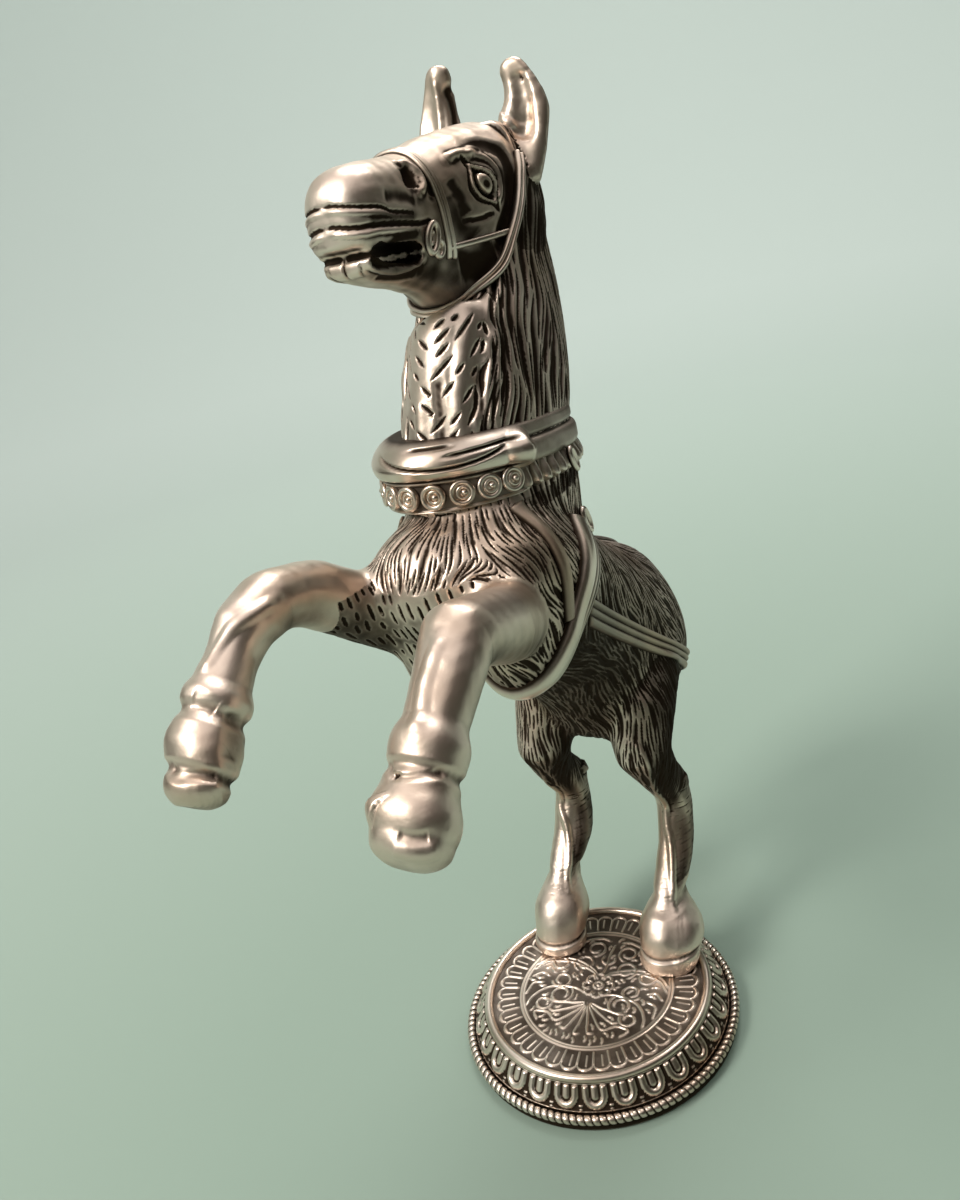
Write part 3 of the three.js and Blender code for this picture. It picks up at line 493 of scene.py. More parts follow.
def comb(chosen, lie, gap, shortest, longest, seed, keep):
    """Strokes over the chosen points: their samples, and each sample's way along its stroke."""
    random = np.random.default_rng(seed)
    open_ground = chosen.tolist()
    places, normals, lies = bare.tolist(), outward.tolist(), lie.tolist()
    cells, samples, numbers, ways = {}, [], [], []

    def crowded(x, y, z, own, limit):
        i, j, k = int(x // gap), int(y // gap), int(z // gap)
        for cell in ((i + a, j + b, k + c) for a in (-1, 0, 1) for b in (-1, 0, 1) for c in (-1, 0, 1)):
            for px, py, pz, number in cells.get(cell, ()):
                if number != own and (px - x) ** 2 + (py - y) ** 2 + (pz - z) ** 2 < limit:
                    return True
        return False

    seeds = random.permutation(np.flatnonzero(chosen))[: int(chosen.sum() * 0.3)]
    for number, seed_index in enumerate(seeds.tolist()):
        x, y, z = places[seed_index]
        if crowded(x, y, z, -1, gap**2):
            continue
        length = random.uniform(shortest, longest)
        sides = []
        for sense in (1, -1):
            path, index, at = [], seed_index, (x, y, z)
            for _ in range(int(length / 2 / CHISEL_STEP)):
                d, step = lies[index], CHISEL_STEP * sense
                q = (at[0] + d[0] * step, at[1] + d[1] * step, at[2] + d[2] * step)
                index = skin_tree.find(q)[1]
                if not open_ground[index]:
                    break
                p, n = places[index], normals[index]
                off = sum((q[i] - p[i]) * n[i] for i in range(3))
                at = (q[0] - n[0] * off, q[1] - n[1] * off, q[2] - n[2] * off)
                if crowded(*at, number, (keep * gap) ** 2):
                    break
                path.append(at)
            sides.append(path)
        whole = sides[1][::-1] + [(x, y, z)] + sides[0]
        if len(whole) * CHISEL_STEP < shortest * 0.45:
            continue
        for at in whole:
            cell = tuple(int(value // gap) for value in at)
            cells.setdefault(cell, []).append((*at, number))
        samples += whole
        numbers += [number] * len(whole)
        ways += np.linspace(0, 1, len(whole)).tolist()
    return np.array(samples), np.array(numbers), np.array(ways)


def cut_strokes(chosen, strokes, half_width, taper):
    """How deeply the strokes are felt at each point of the skin, from 0 to 1."""
    samples, numbers, ways = strokes
    tree = KDTree(len(samples))
    for index, sample in enumerate(samples.tolist()):
        tree.insert(sample, index)
    tree.balance()
    near = np.flatnonzero(chosen)
    found = np.array([tree.find(point)[1] for point in bare[near].tolist()])
    best, way = np.full(len(near), np.inf), ways[found]
    for other in (np.maximum(found - 1, 0), np.minimum(found + 1, len(samples) - 1)):
        same = numbers[other] == numbers[found]
        to = samples[other] - samples[found]
        t = ((bare[near] - samples[found]) * to).sum(axis=1) / np.maximum((to**2).sum(axis=1), 1e-9)
        t = np.where(same, np.clip(t, 0, 1), 0)
        far = np.linalg.norm(bare[near] - samples[found] - t[:, None] * to, axis=1)
        closer = far < best
        best[closer] = far[closer]
        way[closer] = (ways[found] + t * (ways[other] - ways[found]))[closer]
    thick = smoothstep(-0.08, taper, way) * smoothstep(-0.08, taper, 1 - way)
    felt = np.zeros(len(bare))
    felt[near] = bell(best / (half_width * (0.35 + 0.65 * thick))) * (0.2 + 0.8 * thick)
    return felt


def chisel(chosen, lie, gap, lengths, seed, half_width, deep, dark, keep=0.55, taper=0.3, strength=1):
    """Cuts hair: how far apart, how long, how broad, how deep and how dark its strokes are."""
    strokes = comb(chosen, lie, gap, *lengths, seed, keep)
    mark(cut_strokes(chosen, strokes, half_width, taper) * strength, -deep, dark)


def waves(scale, seed, octaves=2):
    """A smooth swelling from -1 to 1 over the skin, from crossing sine waves."""
    random = np.random.default_rng(seed)
    total = np.zeros(len(bare))
    for octave in range(octaves):
        for _ in range(6):
            turn = unit(random.normal(size=3)) * 2 * math.pi / scale * 1.9**octave
            total += np.sin(bare @ turn + random.uniform(0, 6.3)) * 0.6**octave
    return total / 3


BACK = np.array((-0.785, 0, -0.62))
DOWN = np.array((0.0, 0, -1))
trunk_side = np.clip(np.abs(left) / 18, 0, 1)[:, None]
lie = 0.7 * BACK + DOWN * trunk_side
belly = smoothstep(-0.2, -0.8, outward @ np.array((-0.62, 0, 0.785)))[:, None]
lie = lie * (1 - belly) + BACK * belly
breast = smoothstep(-30, -12, forward)[:, None] * smoothstep(150, 166, up + 0.2 * forward)[:, None]
breast_lie = np.column_stack((0 * left + 0.12, 0.009 * (left + 3), 0 * left - 0.95))
lie = lie * (1 - breast) + breast_lie * breast
thigh = on("hind_leg_left", "hind_leg_right")[:, None]
lie = np.where(thigh, DOWN + np.array((-0.25, 0, 0)) * smoothstep(60, 100, up)[:, None], lie)
mane_normal = np.array((28.0, 0, 17)) / math.hypot(28, 17)
behind_mane = (bare - (-8, 0, 224)) @ mane_normal
neck = on("neck")
lie = np.where((neck | on("head"))[:, None], np.array((0.25, 0, -0.97)), lie)
lie = np.where(on("tail")[:, None], np.array((-0.2, 0, -0.98)), lie)
whorl = bare - (33, 10.5, 162)
whorl_near = (bell(np.linalg.norm(whorl, axis=1) / 12) * on("forehand"))[:, None]
for _ in range(24):
    lie = unit(0.4 * lie + 0.6 * neighbour_mean(lie, skin_edges))
lie = unit(lie * (1 - whorl_near) + 1.6 * whorl_near * unit(np.cross(outward, whorl)))
wander = waves(26, 5)[:, None] * np.cross(outward, lie) * 0.3
lie = along_skin(lie + wander)

# Coat: short fine strokes on trunk, thighs and tail, and broader ones that part it into tufts
coat = on("forehand", "hindquarters") | (thigh[:, 0] & (up > 44)) | on("tail")
coat |= on("foreleg_left", "foreleg_right") & (forward < 16) & (up > 118)
coat |= neck & (up < 176)
apron = on("forehand") & (forward > 20) & (up < 164.5 - 0.12 * (forward - 30) ** 2 / 4)
apron &= (left > -26) & (left < 11) & (outward[:, 0] > 0.1)
apron |= on("foreleg_right") & (forward < 46) & (up < 166)
coat &= ~apron
coat_strength = np.where(thigh[:, 0], smoothstep(46, 66, up), 1.0)
chisel(coat, lie, gap=1.18, lengths=(6, 13), seed=11, half_width=0.5, deep=0.34, dark=0.9,
       strength=coat_strength)
chisel(coat, lie, gap=4.2, lengths=(9, 18), seed=12, half_width=1.5, deep=0.38, dark=0.45,
       strength=coat_strength)

# Between the forelegs the breast is smooth, with rows of short upright cuts
upright = along_skin(np.tile((-0.1, 0.12, -1.0), (len(bare), 1)))
chisel(apron, upright, gap=2.3, lengths=(3.4, 6.2), seed=15, half_width=0.6, deep=0.6, dark=1.4,
       keep=0.8, taper=0.2)

# The cannons of the hind legs were dressed flat with a file, across the bone
cannon = on("hind_leg_left", "hind_leg_right") & (up > 19) & (up < 46)
cannon &= outward @ np.array((0.55, 0.75, 0)) > 0.1
across_bone = along_skin(np.column_stack((-outward[:, 1], outward[:, 0], 0 * left)))
chisel(cannon, across_bone, gap=1.5, lengths=(3, 6), seed=16, half_width=0.5, deep=0.07, dark=0.1,
       keep=0.7)

# Mane: long wavy locks, each of several strands, with curls along the crest
mane = neck & (behind_mane < 0) & (up > 172)
headward = in_head(bare)
strap_edge = np.interp(headward[:, 2], (-19.4, -13.6, -6, 0, 5, 13.5), (23.6, 18.4, 12.8, 9.6, 7.4, 3.5))
mane |= on("head") & (headward[:, 0] < 4) & (outward[:, 2] > 0.2)
mane |= (neck | on("head")) & (up > 222) & (headward[:, 0] < strap_edge - 1.6)
crest = mane & (np.abs(left) < 12) & (outward[:, 0] < 0.1) & (up < 262)
chisel(mane & ~crest, lie, gap=4.6, lengths=(18, 40), seed=21, half_width=1.9, deep=0.75, dark=0.6)
chisel(mane & ~crest, lie, gap=1.75, lengths=(12, 30), seed=22, half_width=0.66, deep=0.5, dark=1)
round_neck = np.column_stack((-outward[:, 1], outward[:, 0], 0 * left)) * np.sign(left + 0.01)[:, None]
across = along_skin(round_neck + 0.45 * DOWN + 0.35 * waves(12, 27)[:, None] * DOWN)
chisel(crest, across, gap=2.5, lengths=(5, 9), seed=23, half_width=0.95, deep=0.75, dark=1)
mane_line = neck & (np.abs(behind_mane) < 3) & (up > 178)
height += 0.8 * bell(behind_mane / 2.4) * mane_line * (0.6 + 0.4 * waves(9, 24, 1))
edge = neck & (behind_mane > -4) & (behind_mane < 2.5) & (up > 180)
edge_lie = along_skin(lie + 0.25 * waves(11, 25)[:, None] * np.cross(outward, lie))
chisel(edge, edge_lie, gap=2.7, lengths=(7, 15), seed=26, half_width=1.0, deep=0.75, dark=1)

# Throat: deep short cuts that lean in from both sides
throat = neck & (behind_mane > 2.6) & (up > 182) & (up < 224)
inward_cut = along_skin(np.column_stack((0 * left, -0.75 * np.sign(left + 2), 0 * left - 0.66)))
chisel(throat, inward_cut, gap=2.9, lengths=(4.5, 9), seed=31, half_width=0.75, deep=0.6, dark=1.1,
       keep=0.6, taper=0.35)

# Hollows keep the dark of the old finish, and backs are rubbed bright. On top of that, shade is painted in:
# undersides, faces away from the key lamp, the sides of the head, the breast and the thighs.
height += 0.06 * waves(7, 41) * ~coat * ~mane
shaped = bare + height[:, None] * outward
dents = (neighbour_mean(file_smooth(shaped, skin_edges, 3, np.full(len(bare), 0.8)), skin_edges) - shaped)
hollow = (dents * outward).sum(axis=1)
wide = file_smooth(shaped, skin_edges, 24, np.full(len(bare), 0.9)) - shaped
wide_hollow = (wide * outward).sum(axis=1)
# Undersides are darker: partly old finish that stays unrubbed there, partly painted shade.
underside = smoothstep(0.15, -0.8, outward[:, 2])
to_rear = -0.7 * (forward + 2) - 0.7 * (up - 150)
rubbed = smoothstep(0.04, -0.12, hollow) * 0.1
pooled = np.where(on("ear_left", "ear_right", "foreleg_left", "foreleg_right") | (up < 40), 0.35, 1.0)
pooled = pooled * (5 * np.clip(hollow, -0.02, 0.2) + 0.9 * np.clip(wide_hollow, -0.1, 0.6))
patina_and_shade = patina_and_shade + pooled
# Faces turned to the camera's right, away from the key lamp, are darkened, the mane more so: painted shade.
away = smoothstep(0, 1, outward @ -ASIDE)
patina_and_shade += 0.42 * underside + 0.22 * coat * coat_strength + (0.18 + 0.15 * away) * mane + 0.2 * away - rubbed
# The flat sides of the head are darkened: painted shade.
patina_and_shade += 0.3 * on("head") * smoothstep(0.15, 0.85, np.abs(outward[:, 1]))
# The coat darkens towards the rear and low down. The breast between the forelegs and the thighs' faces away
# from the key lamp are darkened: painted shade.
hind = smoothstep(-6, 14, to_rear) * coat * coat_strength
patina_and_shade += 0.26 * hind + 0.36 * apron + 0.42 * (thigh[:, 0] & (up > 24)) * away
patina_and_shade = np.clip(patina_and_shade, 0, 1)

# Each casting is cut from the skin where its joint is, and closed inside the joint.
def cast_piece(name, points, shares, corners):
    used, where = np.unique(corners, return_inverse=True)
    faces = where.reshape(corners.shape)
    places = points[used]
    starts = faces.ravel()
    ends = np.roll(faces, -1, axis=1).ravel()
    count = len(used)
    rims = {}
    for edge in np.setdiff1d(ends * count + starts, starts * count + ends).tolist():
        rims.setdefault(edge // count, []).append(edge % count)
    middle = places.mean(axis=0)
    loops, caps = [], []
    while rims:
        first = at = next(iter(rims))
        loop = []
        while not loop or at != first:
            loop.append(at)
            onward = rims[at].pop()
            if not rims[at]:
                del rims[at]
            at = onward
        loops.append(loop)
    places = places.tolist()
    shares = shares[used].tolist()
    for loop in loops:
        ring = np.array([places[i] for i in loop])
        centre = ring.mean(axis=0)
        reach = np.linalg.norm(ring - centre, axis=1).mean()
        places.append((centre + 0.3 * reach * unit(middle - centre)).tolist())
        shares.append(1.0)
        caps += [(a, b, len(places) - 1) for a, b in zip(loop, loop[1:] + loop[:1])]
    mesh = bpy.data.meshes.new(name)
    mesh.from_pydata(to_metres(places).tolist(), [], faces.tolist() + caps)
    mesh.shade_smooth()
    flat = np.arange(len(mesh.polygons)) >= len(faces)
    mesh.polygons.foreach_set("use_smooth", ~flat)
    store(mesh, "patina_and_shade", shares)
    rim_ends = {tuple(sorted(pair)) for loop in loops for pair in zip(loop, loop[1:] + loop[:1])}
    sharp = [tuple(sorted(edge.vertices)) in rim_ends for edge in mesh.edges]
    mesh.attributes.new("sharp_edge", "BOOLEAN", "EDGE").data.foreach_set("value", sharp)
    return put_in_scene(name, mesh)


def store(mesh, name, values):
    attribute = mesh.attributes.new(name, "FLOAT", "POINT")
    attribute.data.foreach_set("value", np.asarray(values, dtype=np.float32))


# Old silvering: bright where it is rubbed, brown-black where it isn't and where shade is painted into its
# darkness, with a fine cast grain.
def socket(group, name, kind, way, default=None):
    made = group.interface.new_socket(name=name, in_out=way, socket_type=f"NodeSocket{kind}")
    if default is not None:
        made.default_value = default


def feed(tree, node, inputs):
    for name, value in inputs.items():
        if isinstance(value, bpy.types.NodeSocket):
            tree.links.new(value, node.inputs[name])
        else:
            node.inputs[name].default_value = value


def add_node(tree, kind, inputs=None, **settings):
    node = tree.nodes.new(kind)
    for name, value in settings.items():
        setattr(node, name, value)
    feed(tree, node, inputs or {})
    return node


def new_look(name):
    """A material, with its node tree and its shader."""
    look = bpy.data.materials.new(name)
    look.use_nodes = True
    return look, look.node_tree, look.node_tree.nodes["Principled BSDF"]


SILVER, TARNISH, DARK_FINISH_AND_SHADE = (0.86, 0.72, 0.62, 1), (0.56, 0.42, 0.31, 1), (0.045, 0.03, 0.02, 1)
old_silver = bpy.data.node_groups.new("old silver", "ShaderNodeTree")
socket(old_silver, "Darkness", "Float", "INPUT", 0.0)
socket(old_silver, "Silver", "Color", "INPUT", SILVER)
socket(old_silver, "Dark", "Color", "INPUT", DARK_FINISH_AND_SHADE)
socket(old_silver, "Gloss", "Float", "INPUT", 0.26)
socket(old_silver, "Color", "Color", "OUTPUT")
socket(old_silver, "Roughness", "Float", "OUTPUT")
socket(old_silver, "Height", "Float", "OUTPUT")
given = old_silver.nodes.new("NodeGroupInput")
place = add_node(old_silver, "ShaderNodeTexCoord").outputs["Object"]
blotches = add_node(old_silver, "ShaderNodeTexNoise",
                    {"Vector": place, "Scale": 90, "Detail": 5, "Roughness": 0.6}).outputs["Fac"]
grain = add_node(old_silver, "ShaderNodeTexNoise",
                 {"Vector": place, "Scale": 1300, "Detail": 3, "Roughness": 0.6}).outputs["Fac"]
tarnish = add_node(old_silver, "ShaderNodeTexNoise",
                   {"Vector": place, "Scale": 32, "Detail": 3}).outputs["Fac"]
spread = add_node(old_silver, "ShaderNodeMath", {0: blotches, 1: 0.45, 2: -0.225},
                  operation="MULTIPLY_ADD").outputs[0]
dark = add_node(old_silver, "ShaderNodeMath", {0: given.outputs["Darkness"], 1: spread}).outputs[0]
dark = add_node(old_silver, "ShaderNodeMapRange",
                {"Value": dark, "From Min": 0.06, "From Max": 0.85}, interpolation_type="SMOOTHSTEP")
dark = dark.outputs["Result"]
shift = add_node(old_silver, "ShaderNodeMapRange", {
    "Value": tarnish, "From Min": 0.4, "From Max": 0.7, "To Max": 0.8})
warm = add_node(old_silver, "ShaderNodeMix", {
    0: shift.outputs["Result"], 6: given.outputs["Silver"], 7: TARNISH}, data_type="RGBA")
colour = add_node(old_silver, "ShaderNodeMix", {
    0: dark, 6: warm.outputs[2], 7: given.outputs["Dark"]}, data_type="RGBA").outputs[2]
rough = add_node(old_silver, "ShaderNodeMath", {0: dark, 1: 0.34, 2: given.outputs["Gloss"]},
                 operation="MULTIPLY_ADD").outputs[0]
rough = add_node(old_silver, "ShaderNodeMath", {0: grain, 1: 0.1, 2: rough},
                 operation="MULTIPLY_ADD").outputs[0]
tooth = add_node(old_silver, "ShaderNodeMath", {0: blotches, 1: 0.6, 2: grain},
                 operation="MULTIPLY_ADD").outputs[0]
add_node(old_silver, "NodeGroupOutput", {"Color": colour, "Roughness": rough, "Height": tooth})


def silvering(name, silver=SILVER, gloss=0.35, bump=0.000025):
    look, tree, shader = new_look(name)
    darkness = add_node(tree, "ShaderNodeAttribute", attribute_name="patina_and_shade").outputs["Fac"]
    finish = add_node(tree, "ShaderNodeGroup", node_tree=old_silver)
    feed(tree, finish, {"Darkness": darkness, "Silver": silver, "Gloss": gloss})
    bumped = add_node(tree, "ShaderNodeBump", {"Height": finish.outputs["Height"], "Distance": bump})
    feed(tree, shader, {"Metallic": 1, "Base Color": finish.outputs["Color"],
                        "Roughness": finish.outputs["Roughness"], "Normal": bumped.outputs["Normal"]})
    return look


cast_silver = silvering("cast silver")
SECTION_PLANES = {  # the neck's skin is in two pieces that meet under the collar, and the barrel's in three
    "neck": (((-20, 0, 188.5), (-0.107, 0, 1)),),
    "hindquarters": (((-66, 0, 0), (1, 0, 0)), ((-29, 0, 0), (1, 0, 0))),
}
for number, name in enumerate(CASTINGS):
    faces = skin_faces[face_owner == number]
    section = np.zeros(len(faces), dtype=int)
    for place, way in SECTION_PLANES.get(name, ()):
        section += (bare[faces].mean(axis=1) - place) @ np.array(way) > 0
    for k in range(section.max() + 1):
        label = f"skin_{name}_{k + 1}" if name in SECTION_PLANES else f"skin_{name}"
        piece = cast_piece(label, shaped, patina_and_shade, faces[section == k])
        piece.data.materials.append(cast_silver)
        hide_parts(name)
        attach(piece, "root")

# Harness of the body: girth, crupper, breeching and breast straps
# Each is a cast silver strip with raised bands, bent to the body and soldered down. A strap
# lies in one plane, so it is laid by finding the skin all round that plane.
GIRTH = ((-29.5, 178.1), (21.5, 129.1))
BREECHING = ((-12, 132), (-77, 84))
BREAST_STRAPS = (((9, 178), (14, 140)), ((9, 178), (-3, 150)))
GIRTH_BANDS = [(0.36, 0.6, 2.3), (-0.42, 0.17, 1.6), (-0.82, 0.15, 1.2)]
BREECHING_BANDS = [(0.62, 0.36, 1.45), (-0.1, 0.27, 1.2), (-0.72, 0.25, 1.35)]
PLAIN_BAND = [(0, 1, 1.5)]
DOUBLE_BAND = [(0.5, 0.47, 1.3), (-0.5, 0.47, 1.3)]
FINE_BANDS = [(0.55, 0.42, 1.0), (-0.55, 0.42, 0.9)]
STRAP_FLOOR, STRAP_DEPTH = 0.25, 0.5  # how far a strap stands off the skin between its bands, and sinks in
END_ROUNDING = 1.4
LAY_STEP = 0.42
LAY_TURNS = 720


def strap_plane(line, headed=False):
    """Centre, run and normal of the plane through a line that is given in the middle plane."""
    (f0, u0), (f1, u1) = line
    ends = np.array([(f0, 0, u0), (f1, 0, u1), (f0, 1, u0)], dtype=float)
    if headed:
        ends = from_head(ends)
    run, leftward = unit(ends[1] - ends[0]), unit(ends[2] - ends[0])
    return ends[:2].mean(axis=0), run, unit(np.cross(run, leftward))


def surface_of(*names):
    faces = skin_faces[np.isin(face_owner, [CASTINGS.index(name) for name in names])]
    used, renumbered = np.unique(faces, return_inverse=True)
    return BVHTree.FromPolygons(bare[used].tolist(), renumbered.reshape(faces.shape).tolist())


def hits_round(surface, centre, first, second, turns, reach):
    found = []
    for turn in turns:
        way = math.cos(turn) * first + math.sin(turn) * second
        hit = surface.ray_cast(Vector(centre + way * reach), Vector(-way), reach)[0]
        found.append(tuple(hit) if hit else (np.nan, np.nan, np.nan))
    found = np.array(found)
    gaps = np.isnan(found[:, 0])
    if gaps.any() and not gaps.all():
        spots = np.arange(len(turns))
        for k in range(3):
            found[gaps, k] = np.interp(spots[gaps], spots[~gaps], found[~gaps, k])
    return found, gaps


def bands_height(share, bands):
    raised = np.full(share.shape, STRAP_FLOOR)
    for middle, half, stand in bands:
        raised = np.maximum(raised, stand * np.clip(1 - np.abs((share - middle) / half) ** 3, 0, 1) ** 0.6)
    return raised


def smooth_rows(values, rounds, closed):
    for _ in range(rounds):
        before, after = np.roll(values, 1, axis=0), np.roll(values, -1, axis=0)
        if not closed:
            before[0], after[-1] = values[0], values[-1]
        values = 0.5 * values + 0.25 * (before + after)
    return values


def lay_strap(name, surface, plane, width, bands, keep=None, middle=None, rows=25, reach=70,
              shape=None, depth=STRAP_DEPTH):
    """A strap round a plane, over the part of it where keep holds, and closed where it has no ends."""
    centre, run, normal = plane
    if middle is not None:
        centre = np.array(middle) - normal * ((np.array(middle) - centre) @ normal)
    second = np.cross(normal, run)
    turns = np.linspace(-math.pi, math.pi, LAY_TURNS + 1)[:-1]
    spots, gaps = hits_round(surface, centre, run, second, turns, reach)
    wanted = ~gaps if keep is None else keep(spots) & ~gaps
    closed = bool(wanted.all())
    if not closed:
        start = int(np.flatnonzero(~wanted)[0])
        order = np.roll(np.arange(LAY_TURNS), -start)
        runs, best = [], []
        for index in order.tolist() + [order[0]]:
            if wanted[index]:
                runs.append(index)
            else:
                best, runs = (runs if len(runs) > len(best) else best), []
        turns = np.unwrap(turns[best])
        spots = spots[best]
    else:
        turns = np.append(turns, turns[0] + 2 * math.pi)
        spots = np.vstack((spots, spots[:1]))
    length = np.concatenate(([0], np.cumsum(np.linalg.norm(np.diff(spots, axis=0), axis=1))))
    count = max(int(length[-1] / LAY_STEP), 6)
    along = np.linspace(0, length[-1], count + 1)[: count if closed else count + 1]
    turns = np.interp(along, length, turns)
    shares = -np.cos(np.linspace(0, math.pi, rows))
    shares = 0.45 * shares + 0.55 * np.linspace(-1, 1, rows)
    grid = np.stack([hits_round(surface, centre + normal * share * width / 2, run, second, turns, reach)[0]
                     for share in shares], axis=1)
    return strap_over(name, grid, shares, normal, centre, along, closed, bands, END_ROUNDING, shape=shape,
                      depth=depth)


def lay_along(name, surface, line, width, bands, stand):
    """A strap along a line over the skin, for one that doesn't lie in a plane."""
    line = spline(line)
    length = np.concatenate(([0], np.cumsum(np.linalg.norm(np.diff(line, axis=0), axis=1))))
    along = np.linspace(0, length[-1], int(length[-1] / LAY_STEP))
    path = np.column_stack([np.interp(along, length, line[:, k]) for k in range(3)])
    found = [surface.find_nearest(Vector(spot)) for spot in path]
    path = smooth_rows(np.array([tuple(hit[0]) for hit in found]), 12, False)
    normals = np.array([tuple(hit[1]) for hit in found])
    middle = path.mean(axis=0)
    normals *= np.sign((normals * (path - middle)).sum(axis=1))[:, None]
    normals = unit(smooth_rows(normals, 12, False))
    across = unit(np.cross(np.gradient(path, axis=0), normals))
    shares = np.linspace(-1, 1, 15)
    grid = path[:, None] + across[:, None] * shares[None, :, None] * width / 2
    grid = np.array([[tuple(surface.find_nearest(Vector(spot))[0]) for spot in row] for row in grid])
    return strap_over(name, grid, shares, across[:, None], middle, along, False, bands, 1.0, stand=stand)


def strap_over(name, grid, shares, normal, centre, along, closed, bands, rounded, stand=0.0, shape=None,
               depth=STRAP_DEPTH):
    """The body of a strap over a grid of places on the skin, one row of them for each place along it."""
    grid = smooth_rows(grid, 3, closed)
    ahead = np.roll(grid, -1, axis=0) - np.roll(grid, 1, axis=0)
    if not closed:
        ahead[0], ahead[-1] = grid[1] - grid[0], grid[-1] - grid[-2]
    outside = unit(np.cross(ahead, normal))
    outside *= np.sign((outside * (grid - centre)).sum(axis=2).mean())
    outside = smooth_rows(outside, 4, closed)
    raised, dark = np.tile(bands_height(shares, bands), (len(grid), 1)), 0
    if shape is not None:
        raised, dark = shape(shares, along, grid)
    if not closed:
        from_end = np.minimum(along, along[-1] - along)
        raised *= np.sqrt(1 - (1 - np.clip(from_end / rounded, 0, 1)) ** 2)[:, None]
    top = grid + outside * (raised + stand)[:, :, None]
    under = (grid - outside * depth)[:, ::-4]
    tallest = max(band[2] for band in bands)
    tone = np.maximum(np.clip(1 - raised / tallest, 0, 1) ** 1.2, dark)
    # The strap's edges are darkened as the shadow of their undercut against the skin: painted shadow.
    edge = np.abs(shares) > 0.93
    tone[:, edge] = np.maximum(tone[:, edge], 0.5)
    tone = np.hstack((tone, np.full(under.shape[:2], 0.9)))
    return ringed_piece(name, np.concatenate((top, under), axis=1), tone, closed)


def ringed_piece(name, rings, tone, closed):
    """A closed body from rings of points, with a cap at each end if it isn't a hoop."""
    count, around = rings.shape[:2]
    number = np.arange(count * around).reshape(count, around)
    after = np.roll(number, -1, axis=0) if closed else number[1:]
    here = number if closed else number[:-1]
    faces = np.stack((here, np.roll(here, -1, axis=1), np.roll(after, -1, axis=1), after), axis=2)
    faces = faces.reshape(-1, 4).tolist()
    points, tones = rings.reshape(-1, 3), tone.ravel()
    if not closed:
        points = np.vstack((points, rings[0].mean(axis=0), rings[-1].mean(axis=0)))
        tones = np.append(tones, (tones[0], tones[-1]))
        first, last = number[0], number[-1]
        faces += [(b, a, len(points) - 2) for a, b in zip(first, np.roll(first, -1))]
        faces += [(a, b, len(points) - 1) for a, b in zip(last, np.roll(last, -1))]
    return solid_piece(name, points, [[int(i) for i in face] for face in faces], tones)


def solid_piece(name, points, faces, tone):
    mesh = bpy.data.meshes.new(name)
    mesh.from_pydata(to_metres(points).tolist(), [], faces)
    store(mesh, "patina_and_shade", tone)
    form = bmesh.new()
    form.from_mesh(mesh)
    bmesh.ops.recalc_face_normals(form, faces=form.faces)
    form.to_mesh(mesh)
    form.free()
    mesh.shade_smooth()
    return put_in_scene(name, mesh)


def solder_on(piece, look, *nodes):
    piece.data.materials.clear()
    piece.data.materials.append(look)
    if nodes:
        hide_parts(*nodes)
    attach(piece, "root")


rubbed_silver = silvering("rubbed silver", (0.9, 0.78, 0.68, 1), gloss=0.27, bump=0.00002)
# A darker copy of the silver, for the breeching and breast straps: painted shade.
shaded_silver = silvering("shaded silver", (0.36, 0.29, 0.24, 1), gloss=0.38, bump=0.00003)
trunk = surface_of("forehand", "hindquarters")
girth_plane = strap_plane(GIRTH)
to_girth = lambda spots: (spots - girth_plane[0]) @ girth_plane[2]
girth = lay_strap("girth_strap", trunk, girth_plane, 13, GIRTH_BANDS,
                  keep=lambda spots: spots[:, 2] < 177, middle=(-6, 0, 150))
solder_on(girth, rubbed_silver, "girth")
middle_plane = np.array((-60.0, 0, 110)), np.array((1.0, 0, 0)), np.array((0.0, 1, 0))
crupper = lay_strap(
    "crupper_strap", trunk, middle_plane, 4.6, PLAIN_BAND,
    keep=lambda s: (s[:, 0] > -99) & (s[:, 2] > 104) & (to_girth(s) < -5) & (s[:, 0] < -20))
solder_on(crupper, rubbed_silver, "crupper")
for side, (sign, name) in enumerate(((1, "left"), (-1, "right"))):
    hip = surface_of("forehand", "hindquarters", f"hind_leg_{name}")
    breeching = lay_strap(
        f"breeching_strap_{name}", hip, strap_plane(BREECHING), 7, BREECHING_BANDS, middle=(-48, 0, 105),
        keep=lambda s: (s[:, 1] * sign > 2.5) & (to_girth(s) < -5) & (s[:, 2] > 60))
    solder_on(breeching, shaded_silver, f"breeching_{name}")
    breast = lay_strap(
        f"breast_strap_piece_{name}", trunk, strap_plane(BREAST_STRAPS[side]), 4.2, PLAIN_BAND,
        middle=(8, 0, 155),
        keep=lambda s: (s[:, 1] * sign > 12) & (s[:, 2] > 128) & (s[:, 2] < 180) & (s[:, 0] > -8)
        & (to_girth(s) > 5.4))
    solder_on(breast, shaded_silver, f"breast_strap_{name}")

# Halter: noseband, throat strap and cheek straps
# They are finer strips of the same kind, soldered to the head.
NOSEBAND = ((37.5, 13), (32.5, -14))
THROAT_STRAP = [  # in the frame of the head
    (3.5, 14.6, 13.5), (5.8, 15.6, 9), (7.4, 16.6, 5), (9.6, 17, 0), (12.8, 17, -6), (18.4, 16.2, -13.6),
    (23.6, 12.8, -19.4), (27, 7.5, -22), (28.4, 0, -22.8),
]
CHEEK_STRAP = ((40, -10), (10, -6))
skull = surface_of("head")
noseband = lay_strap("noseband_strap", skull, strap_plane(NOSEBAND, True), 2.8, FINE_BANDS, rows=19, reach=50,
                     keep=lambda s: in_head(s)[:, 2] > -12)
solder_on(noseband, rubbed_silver, "noseband")
throat = surface_of("head", "neck")
throat_line = THROAT_STRAP + [(f, -l, u) for f, l, u in THROAT_STRAP[-2::-1]]
